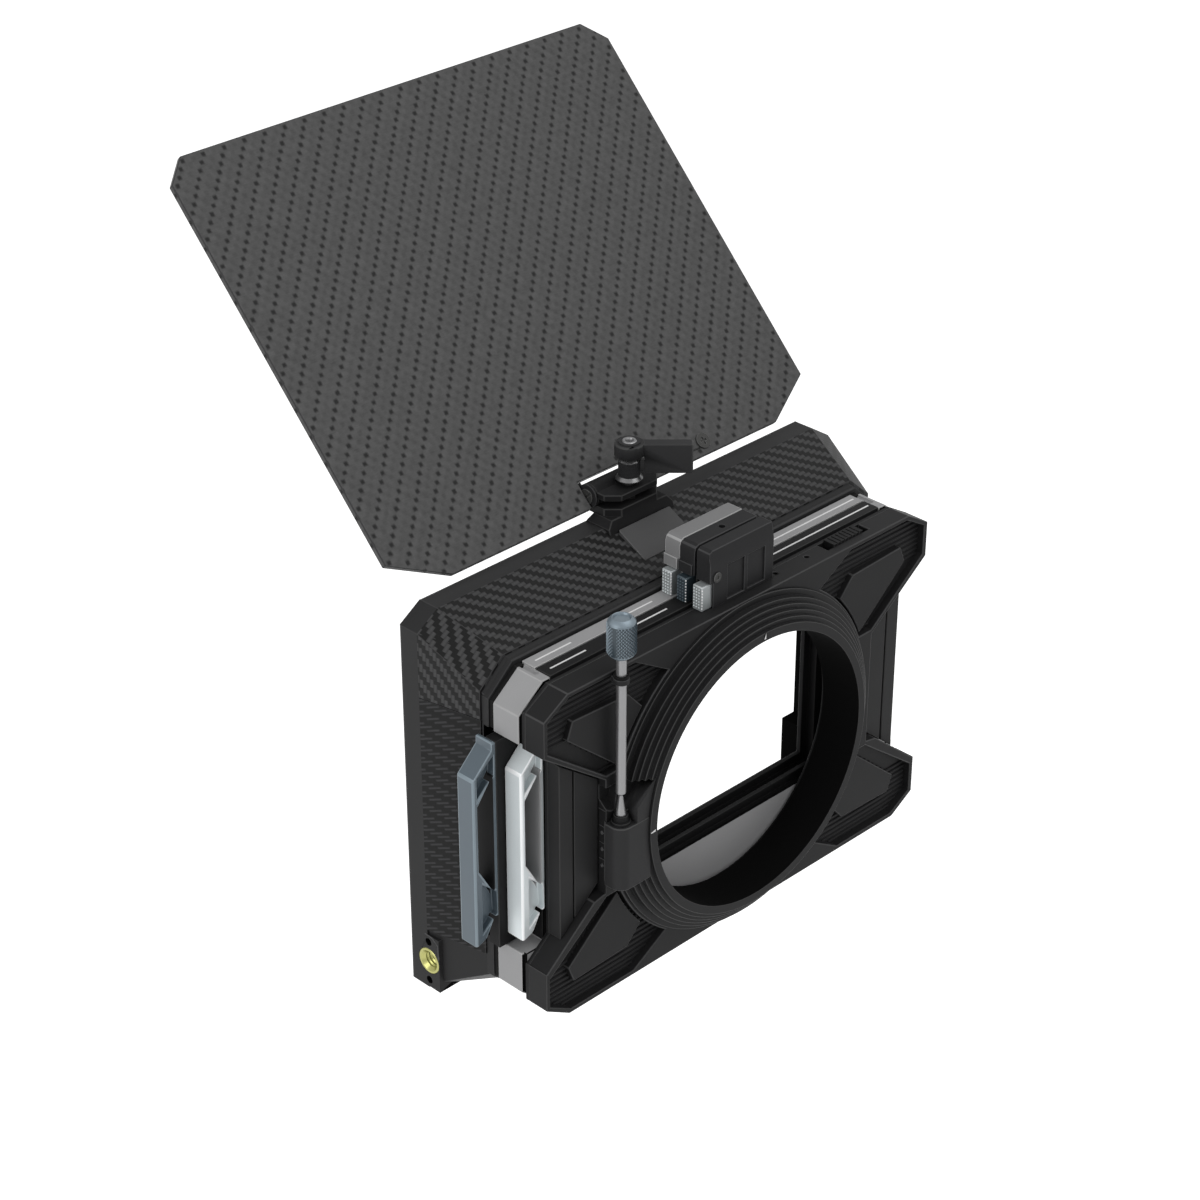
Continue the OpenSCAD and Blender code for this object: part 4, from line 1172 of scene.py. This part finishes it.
@dataclass
class FlagClamp:
    """The foot, jaws, stem and lever that hold the flag."""

    bench: Bench
    hub_foot: float = 91.3
    hub_radius: float = 4.8
    pin: float = 2.0
    hub_pin: float = 2.5
    neck_inset: float = 0.6
    groove_pitch: float = 0.5
    groove_depth: float = 0.12
    waist_inset: float = 0.9
    screw_share: float = 0.68
    rim_drop: float = 0.3

    def build(self) -> None:
        """Builds and dresses the clamp."""
        soften = self.bench.soften
        soften("flag_foot", Look.DARK, 0.3)
        soften("foot_panel", Look.PANEL, 0.8, 1)
        soften("upper_jaw", Look.DARK, 0.3)
        self.shorten_hub(soften("clamp_lever", Look.LEVER, 0.5))
        self.stem()
        self.screw()

    def stem(self) -> None:
        """Turns the stem with its grooves and flared foot, and sets bright steel rings at its collar and foot
        as painted highlights.
        """
        low = self.bench.span("clamp_stem")[0].z
        centre, wide, top = self.bench.foot("clamp_stem")
        jaw = self.bench.span("upper_jaw")[1].z - low
        hub = self.hub_foot - low
        neck = wide - self.neck_inset
        waist = neck - self.waist_inset
        profile = [(0.0, 0.0), (self.pin, 0.0), (self.pin, jaw), (neck, jaw)]
        groove = jaw + 1.5
        while groove < hub - 2.4:
            profile += [(neck, groove), (neck - self.groove_depth, groove + self.groove_depth),
                        (neck, groove + 2 * self.groove_depth)]
            groove += self.groove_pitch
        profile += [(neck, hub - 1.9), (waist, hub - 0.9), (waist, hub + 0.05), (self.hub_pin, hub + 0.05),
                    (self.hub_pin, top), (0.0, top)]
        piece = self.bench.lathe("clamp_stem_turned", profile, centre)
        body = self.bench.body_of["clamp_stem"]
        self.bench.fit(piece, Look.BLACK, body, ["clamp_stem"])
        # Two bright steel rings, at the collar and on the foot: painted highlights on the black stem.
        collar = [(neck - 1.0, hub - 2.1), (neck + 0.03, hub - 2.1), (neck + 0.03, hub - 1.8),
                  (neck - 0.85, hub - 0.85), (neck - 1.0, hub - 0.85), (neck - 1.0, hub - 2.1)]
        foot = [(neck - 0.3, jaw + 0.02), (neck + 0.9, jaw + 0.02), (neck + 0.9, jaw + 0.3),
                (neck + 0.05, jaw + 1.3), (neck - 0.3, jaw + 1.3), (neck - 0.3, jaw + 0.02)]
        for name, ring in (("stem_collar", collar), ("stem_foot", foot)):
            self.bench.fit(self.bench.lathe(name, ring, centre), Look.GLINT, body)

    def shorten_hub(self, lever: bpy.types.Object) -> None:
        """Cuts the lower part of the hub away from round the stem.

        Args:
            lever: The lever, in place.
        """
        low = self.bench.span("clamp_stem")[0].z
        below = self.bench.span("clamp_lever")[0].z - low - 1.0
        reach = self.hub_radius + 0.4
        hub = self.hub_foot - low
        profile = [(0.0, below), (reach, below), (reach, hub), (0.0, hub)]
        centre = self.bench.foot("clamp_stem")[0]
        self.bench.cut(lever, self.bench.lathe("hub_cutter", profile, centre, steps=48))

    def screw(self) -> None:
        """Turns the lever's screw with its socket, and the rim that holds it."""
        centre, wide, tall = self.bench.foot("lever_screw")
        head = self.screw_share * wide
        body = self.bench.body_of["lever_screw"]
        inner = head + 0.05
        edge = tall - self.rim_drop
        rim = [(inner, tall - 1.2), (wide, tall - 1.2), (wide, edge), (inner, edge), (inner, tall - 1.2)]
        self.bench.fit(self.bench.lathe("lever_rim", rim, centre), Look.LEVER, body)
        screw = [(0.0, 0.0), (head, 0.0), (head, edge), (head - 0.25, tall - 0.05),
                 (0.62 * head, tall - 0.05), (0.55 * head, edge), (0.5 * head, tall - 1.4), (0.0, tall - 1.4)]
        turned = self.bench.lathe("lever_screw_turned", screw, centre)
        self.bench.fit(turned, Look.STEEL, body, ["lever_screw"])


@dataclass
class Flag:
    """The carbon flag with its bracket, pin and screws."""

    bench: Bench

    def build(self) -> None:
        """Builds and dresses the flag."""
        soften = self.bench.soften
        soften("flag_plate", Look.FLAG_TWILL, 0.3)
        soften("flag_bracket", Look.BLACK, 0.15, 1)
        soften("hinge_pin", Look.DARK_STEEL, 0.12)
        soften("flag_screws", Look.DARK_STEEL, 0.12)


@dataclass
class FilterStage:
    """The grey frame with its strips, index lines, trays and handles."""

    bench: Bench
    root_wall: float = 1.4
    window: tuple[tuple[float, float], tuple[float, float]] = ((-30.0, -14.6), (-8.0, 29.6))

    def build(self) -> None:
        """Builds and dresses the stage."""
        soften = self.bench.soften
        soften("filter_frame", Look.GREY, 0.35, inner=self.blackened())
        soften("front_strip", Look.GREY, 0.2, 1)
        soften("rear_strip", Look.DARK, 0.2, 1)
        self.bench.dress("index_lines", Look.WHITE)
        soften("front_tray", Look.DARK, 0.2, 1)
        soften("rear_tray", Look.DARK, 0.2, 1)
        (near, foot), (far, head) = self.window
        # The faces in each handle's window take the colour seen through the real opening: painted shade
        # behind the blue handle, the grey frame behind the silver one.
        for handle, look, behind in (("front_handle", Look.BLUE, Look.DARK),
                                     ("rear_handle", Look.SILVER, Look.GREY)):
            root = self.bench.span(handle)[0].x + self.root_wall
            window = ((root - 0.4, near, foot), (root + 0.4, far, head))
            soften(handle, look, 0.7, 3, inner=Inner(behind, (window,)))

    def blackened(self) -> Inner:
        """The faces of the grey frame that stay black: those in the light path, and the rear band and top
        groove, where the black is painted shade.

        Returns:
            The second finish with its boxes.
        """
        low, high = self.bench.span("filter_frame")
        opening = ((-78.8, low.y + 0.1, -35.9), (78.8, high.y - 0.1, 40.9))
        front = ((-84.0, low.y - 0.1, -62.0), (84.0, low.y + 0.1, 62.0))
        # The rear band and the top groove are painted shade.
        rear_rim = ((low.x, high.y - 1.05, low.z), (high.x, high.y - 0.05, high.z))
        groove = ((-75.2, high.y - 4.0, high.z - 1.6), (75.2, high.y + 0.1, high.z - 1.2))
        return Inner(Look.MATT_AND_SHADE, (opening, front, rear_rim, groove))


@dataclass
class Pocket:
    """The ribs in one corner pocket of the back plate."""

    side: float
    top: float
    pitch: float = 1.95
    radius: float = 0.55
    depth: float = 3.0

    def outline(self, half_width: float, half_height: float, recess: float) -> Outline:
        """Corners of the pocket at the handle side's upper corner.

        Args:
            half_width: Half the plate's width in millimetres.
            half_height: Half its height in millimetres.
            recess: Distance from the middle to the wall of the side recess, in millimetres.

        Returns:
            The corners in X and Z.
        """
        return [(half_width - 1.5, 41.4), (recess - 0.3, 22.5), (recess - 12.0, 22.5), (34.4, 48.5),
                (49.4, half_height - 1.5), (half_width - 10.6, half_height - 1.5),
                (half_width - 1.5, half_height - 6.8)]

    def island(self, half_width: float, recess: float) -> Outline:
        """Corners of the flat island in the pocket."""
        return [(half_width - 10.2, 42.0), (half_width - 12.5, 48.0), (recess - 10.3, 47.0),
                (recess - 17.5, 39.0), (recess - 11.5, 23.5), (recess - 5.9, 23.5)]


def crossings(outline: Outline, level: float) -> list[float]:
    """Where a closed outline crosses a level, from left to right.

    Args:
        outline: Its corners in X and Z.
        level: The level in Z.

    Returns:
        The crossings in X.
    """
    found = []
    for (x0, z0), (x1, z1) in zip(outline, [*outline[1:], outline[0]]):
        if (z0 > level) != (z1 > level):
            found.append(x0 + (x1 - x0) * (level - z0) / (z1 - z0))
    return sorted(found)


@dataclass
class BackPlate:
    """The bow-tie plate with its ribbed pockets, side panels, slide and screws."""

    bench: Bench
    bars: BarPattern
    dots: DotPattern
    disc: float = 59.0
    recess: float = 62.0
    first_rib: float = 23.4
    beside_disc: float = 1.0
    least_rib: float = 1.0
    below_edge: float = 2.2
    overlap: float = 0.2
    square_levels: tuple[float, ...] = (1.1, -5.0, -11.1)
    ledge_levels: tuple[float, ...] = (9.6, 3.5, -2.6, -8.7)
    pockets: tuple[Pocket, ...] = tuple(Pocket(side, top) for side in SIDES for top in SIDES)

    def build(self) -> None:
        """Builds and dresses the plate."""
        soften = self.bench.soften
        soften("back_plate", Look.PLATE, 0.35)
        soften("front_layer", Look.DARK, 0.2, 1)
        soften("side_panels", Look.WALL, 0.25)
        soften("release_catch", Look.DARK, 0.12, 1)
        soften("plate_screws", Look.DARK_STEEL, 0.15, 1)
        self.ribs()
        self.wall_marks()

    def wall_marks(self) -> None:
        """Sets three small squares on the inner wall of each side recess, with ledges between them, in the
        lighter LIT colour as painted highlights.
        """
        at = self.bench.at
        squares = [at(side * (self.recess + 0.02), -1.7, z) for side in SIDES for z in self.square_levels]
        ledges = [[at(side * self.recess, y, z) for y in (-3.0, -0.4)]
                  for side in SIDES for z in self.ledge_levels]
        self.dots.lay(self.bench, "recess_squares", squares, (Look.LIT, Look.LIT), "box", 0.85, 0.5)
        self.bars.lay(self.bench, "recess_ledges", ledges, 0.16, Look.LIT)

    def rib_spans(self, pocket: Pocket, high: Vector, level: float) -> list[tuple[float, float]]:
        """Where a rib runs at one level.

        Args:
            pocket: The pocket that it lies in.
            high: The plate's highest corner in millimetres.
            level: The rib's height above the bore's axis.

        Returns:
            Start and end of each stretch between the pocket's walls, its island and the ring.
        """
        walls = crossings(pocket.outline(high.x, high.z, self.recess), level)
        clear = self.disc + self.beside_disc
        if abs(level) < clear:
            ring = math.sqrt(clear ** 2 - level ** 2)
            walls = [max(wall, ring) for wall in walls]
        island = crossings(pocket.island(high.x, self.recess), level)
        stops = sorted([*walls, *[stop for stop in island if stop > walls[0]]])
        return [(start, end) for start, end in zip(stops[::2], stops[1::2]) if end - start > self.least_rib]

    def ribs(self) -> None:
        """Lays level ribs in the four pockets, from wall to island."""
        high = self.bench.span("back_plate")[1]
        paths = []
        for pocket in self.pockets:
            level = self.first_rib
            while level < high.z - self.below_edge:
                for start, end in self.rib_spans(pocket, high, level):
                    paths.append([self.bench.at(pocket.side * across, -pocket.depth, pocket.top * level)
                                  for across in (start - self.overlap, end + self.overlap)])
                level += pocket.pitch
        self.bars.lay(self.bench, "pocket_ribs", paths, self.pockets[0].radius, Look.PLATE)


@dataclass
class LensRing:
    """The stepped ring with its ticks and the geared ring inside."""

    bench: Bench
    bore: float = 48.2
    bore_end: float = 7.9

    def build(self) -> None:
        """Builds and dresses the ring."""
        # The bore's inside gets the darker black: painted shade.
        inside = Inner(Look.MATT_AND_SHADE, bore=self.bore, bore_end=self.bore_end)
        self.bench.soften("lens_ring", Look.RING, 0.2, 2, inner=inside)
        self.bench.dress("ring_ticks", Look.WHITE)
        self.bench.soften("filter_ring", Look.DARK_STEEL, 0.12, 1)


@dataclass
class AdjustingRod:
    """The rod with its knob, guide, housing and worm."""

    bench: Bench
    studs: StudPattern
    around: int = 26
    rows: int = 17
    stud: float = 0.52
    shoulder_height: float = 12.5
    shoulder_ring: float = 50.7
    shoulder_width: float = 3.2

    def build(self) -> None:
        """Builds and dresses the rod and what carries it."""
        soften = self.bench.soften
        soften("gear_housing", Look.HOUSING, 0.35)
        soften("housing_cap", Look.DARK, 0.15, 1)
        soften("rod_guide", Look.BLACK, 0.2)
        soften("guide_washer", Look.RUBBER, 0.12, 1)
        self.bench.dress("adjust_rod", Look.STEEL)
        self.bench.dress("rod_worm", Look.BRONZE)
        self.knob()
        self.shoulder()

    def shoulder(self) -> None:
        """Builds the housing's shoulder beside the rod, with a cone cut out of it for the rod's foot."""
        high = self.bench.span("gear_housing")[1]
        foot = high.z
        top = foot + self.shoulder_height
        rod = self.bench.span("adjust_rod")
        centre = (rod[0].x + rod[1].x) / 2
        arc = []
        for step in range(9):
            level = foot - 0.1 + (top - foot + 0.1) * step / 8
            arc.append((math.sqrt(self.shoulder_ring ** 2 - level ** 2), level))
        side = centre - self.shoulder_width
        outline = [*arc, (side, top), (side, foot - 0.1)]
        block = self.bench.prism("rod_shoulder", outline, high.y - 0.1, 0.9)
        place = self.bench.at(centre, (rod[0].y + rod[1].y) / 2, 0.0)
        profile = [(0.0, foot - 1.0), (3.1, foot - 1.0), (3.1, foot + 3.4), (12.2, top + 0.5),
                   (12.2, top + 4.0), (0.0, top + 4.0)]
        self.bench.cut(block, self.bench.lathe("shoulder_cone", profile, place, steps=64))
        block.data.materials.clear()
        self.bench.fit(block, Look.HOUSING, "box")

    def knob(self) -> None:
        """Turns the knob, with its barrel darker as painted shade between the studs, and sets its knurl."""
        low, high = self.bench.span("rod_knob")
        foot, radius, tall = self.bench.foot("rod_knob")
        body = radius - 0.22
        profile = [(0.0, 0.0), (body - 1.5, 0.0), (body - 0.1, 1.3), (body, 1.6), (body, tall - 1.9),
                   (body - 0.12, tall - 1.6), (body + 0.05, tall - 1.35), (body - 0.25, tall - 0.9),
                   (body - 1.0, tall - 0.15), (body - 1.3, tall), (body - 1.5, tall - 0.1),
                   (body - 1.8, tall - 0.7), (0.0, tall - 0.7)]
        knob = self.bench.lathe("rod_knob_turned", profile, foot, steps=56)
        knob.data.materials.append(Look.KNOB.value.material())
        # The barrel under the studs gets the darker blue: painted shade between them.
        barrel = ((low.x - 1.0, low.y - 1.0, low.z + 1.5), (high.x + 1.0, high.y + 1.0, high.z - 1.8))
        Inner(Look.SLATE, (barrel,)).lay(self.bench, knob)
        rides_on = self.bench.body_of["rod_knob"]
        self.bench.fit(knob, Look.KNOB, rides_on, ["rod_knob"])
        knurl = self.bench.new("rod_knob_knurl", point_mesh("rod_knob_knurl", [Vector()]))
        self.studs.run(self.bench, knurl, Look.KNOB, Radius=(body - 0.04) * MM, Height=(tall - 4.2) * MM,
                       Around=self.around, Rows=self.rows, Stud=self.stud * MM, Foot=foot + 2.0 * MM * UP)
        self.bench.fit(knurl, Look.KNOB, rides_on)


@dataclass
class TopLocks:
    """The three lock blocks with their buttons and screw."""

    bench: Bench
    dots: DotPattern
    pitch: float = 1.05
    margin: float = 0.6
    sink: float = 0.02
    corner_sink: float = 0.12

    def build(self) -> None:
        """Builds and dresses the locks."""
        soften = self.bench.soften
        soften("lock_front", Look.LOCK, 0.45, 2, long=3.0)
        soften("lock_middle", Look.BLACK, 0.45, 2, long=3.0)
        soften("lock_rear", Look.BLACK, 0.3, 2, long=3.0)
        soften("lock_screw", Look.DARK_STEEL, 0.12, 1)
        # Each button's dots are a lighter copy of its finish: painted highlights.
        for name, look, dot in (("front", Look.BUTTON, Look.SILVER), ("middle", Look.SLATE, Look.BLUE),
                                ("rear", Look.BUTTON, Look.SILVER)):
            soften(f"button_{name}", look, 0.35, 2)
            self.grip(name, dot)

    def grip(self, name: str, look: Look) -> None:
        """Sets the dots on a button's outer face, lighter than the button as painted highlights, and white
        dots along its corner as painted highlights.

        Args:
            name: Which of the three buttons.
            look: Finish of the dots.
        """
        low, high = self.bench.span(f"button_{name}")
        columns = int((high.y - low.y - 2 * self.margin) / self.pitch) + 1
        rows = int((high.z - low.z - 2 * self.margin) / self.pitch) + 1
        middle = (low.z + high.z) / 2
        levels = [middle + (row - (rows - 1) / 2) * self.pitch for row in range(rows)]
        across = [low.y + self.margin + column * self.pitch for column in range(columns)]
        face = [self.bench.at(high.x - self.sink, y, z) for y in across for z in levels]
        corner = [self.bench.at(high.x - self.corner_sink, high.y - self.corner_sink, z) for z in levels]
        body = self.bench.body_of[f"button_{name}"]
        self.dots.lay(self.bench, f"button_{name}_dots", face, (look, look), body, 0.36, 0.2)
        # White dots along the corner: painted highlights on the edge.
        self.dots.lay(self.bench, f"button_{name}_corner", corner, (Look.WHITE, look), body, 0.34, 0.3,
                      Vector((1.0, 1.0, 0.0)))


@dataclass
class Studio:
    """The plain floor, the soft lights and the camera at the photograph's angle.

    Attributes:
        azimuth: Direction to the camera round Z, in degrees from the front.
        elevation: Its height above the level, in degrees.
        distance: Its distance from what it aims at, in millimetres.
        aim: The place that it aims at, in millimetres.
        lens: Its focal length, in millimetres.
        film: Width of its film, in millimetres.
        floor_drop: Depth of the floor below the bore's axis, in millimetres.
        floor_half: Half the width of the floor, in metres.
        floor_glow: Light that the floor gives off where it is seen directly.
        fill: Level of the plain light on the part.
        lamps: Name, place and size in metres, and power of each lamp.
    """

    azimuth: float = 135.0
    elevation: float = 30.0
    distance: float = 960.0
    aim: Place = (14.75, -57.9, 44.8)
    lens: float = 90.0
    film: float = 36.0
    floor_drop: float = 320.0
    floor_half: float = 4.0
    floor_glow: float = 0.75
    fill: float = 0.36
    lamps: tuple[tuple[str, Place, Size, float], ...] = (
        ("key_light", (-0.35, 0.5, 1.25), (1.1, 1.1), 7.5),
        ("side_light", (1.5, -0.1, 0.5), (1.0, 1.2), 10.0),
        ("rear_light", (0.2, 1.6, 0.35), (1.2, 1.0), 1.2))

    def build(self) -> None:
        """Sets up the studio."""
        scene = bpy.context.scene
        scene.view_settings.view_transform = "Standard"
        self.camera(scene)
        self.world(scene)
        self.floor()
        for name, place, size, watts in self.lamps:
            self.lamp(name, place, size, watts)

    def camera(self, scene: bpy.types.Scene) -> None:
        """Places the camera.

        Args:
            scene: The scene that it is placed in.
        """
        data = bpy.data.cameras.new("camera")
        data.lens = self.lens
        data.sensor_width = self.film
        data.clip_start = 0.05
        eye = bpy.data.objects.new("camera", data)
        scene.collection.objects.link(eye)
        a, e = math.radians(self.azimuth), math.radians(self.elevation)
        back = Vector((math.sin(a) * math.cos(e), -math.cos(a) * math.cos(e), math.sin(e)))
        eye.rotation_euler = back.to_track_quat("Z", "Y").to_euler()
        eye.location = Vector(self.aim) * MM + back * self.distance * MM
        scene.camera = eye

    @staticmethod
    def seen_directly(graph: Graph) -> Wire:
        """1 for what the camera, a reflection or glass sees, else 0.

        Args:
            graph: The tree that the nodes are added to.

        Returns:
            The level.
        """
        path = graph.add("ShaderNodeLightPath", out="Is Camera Ray")
        outputs = path.socket.node.outputs
        for other in ("Is Glossy Ray", "Is Transmission Ray"):
            path = path + Wire(graph, outputs[other])
        return path.limited()

    def world(self, scene: bpy.types.Scene) -> None:
        """White behind everything, and a plain level of light on the part.

        Args:
            scene: The scene that is lit.
        """
        world = bpy.data.worlds.new("studio")
        world.use_nodes = True
        scene.world = world
        graph = Graph(world.node_tree)
        seen = self.seen_directly(graph)
        light = graph.add("ShaderNodeBackground", None,
                          {"Color": (1.0, 1.0, 1.0, 1.0), "Strength": self.fill})
        white = graph.add("ShaderNodeBackground", None, {"Color": (1.0, 1.0, 1.0, 1.0), "Strength": 1.0})
        both = graph.add("ShaderNodeMixShader", None, {0: seen, 1: light, 2: white})
        graph.add("ShaderNodeOutputWorld", None, {"Surface": both})

    def floor(self) -> None:
        """A pale floor well below the part."""
        form = bmesh.new()
        bmesh.ops.create_grid(form, x_segments=1, y_segments=1, size=self.floor_half)
        mesh = bpy.data.meshes.new("floor")
        form.to_mesh(mesh)
        form.free()
        mesh.transform(Matrix.Translation((0.0, 0.0, -self.floor_drop * MM)))
        floor = bpy.data.objects.new("floor", mesh)
        bpy.context.scene.collection.objects.link(floor)
        paint = bpy.data.materials.new("floor")
        paint.use_nodes = True
        graph = Graph(paint.node_tree)
        matt = graph.add("ShaderNodeBsdfDiffuse", None, {"Color": (0.9, 0.9, 0.9, 1.0)})
        white = graph.add("ShaderNodeEmission", None,
                          {"Color": (1.0, 1.0, 1.0, 1.0), "Strength": self.floor_glow})
        lit = graph.add("ShaderNodeAddShader", None, {0: matt, 1: white})
        mixed = graph.add("ShaderNodeMixShader", None, {0: self.seen_directly(graph), 1: matt, 2: lit})
        graph.add("ShaderNodeOutputMaterial", None, {"Surface": mixed})
        mesh.materials.append(paint)

    @staticmethod
    def lamp(name: str, place: Place, size: Size, watts: float) -> None:
        """A large soft lamp that points at the part.

        Args:
            name: Name of the lamp.
            place: Where it hangs, in metres.
            size: Its width and height in metres.
            watts: Its power.
        """
        data = bpy.data.lights.new(name, "AREA")
        data.shape = "RECTANGLE"
        data.size, data.size_y = size
        data.energy = watts
        lamp = bpy.data.objects.new(name, data)
        lamp.location = place
        lamp.rotation_euler = Vector(place).to_track_quat("Z", "Y").to_euler()
        bpy.context.scene.collection.objects.link(lamp)


def main() -> None:
    """Builds every group in order."""
    logging.basicConfig(level=logging.INFO, format="%(message)s")
    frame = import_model()
    bench = Bench(frame)
    bars, studs, dots = BarPattern(), StudPattern(), DotPattern()
    Studio().build()
    Hood(bench, bars).build()
    FlagClamp(bench).build()
    Flag(bench).build()
    FilterStage(bench).build()
    BackPlate(bench, bars, dots).build()
    LensRing(bench).build()
    AdjustingRod(bench, studs).build()
    TopLocks(bench, dots).build()


if __name__ == "__main__":
    main()
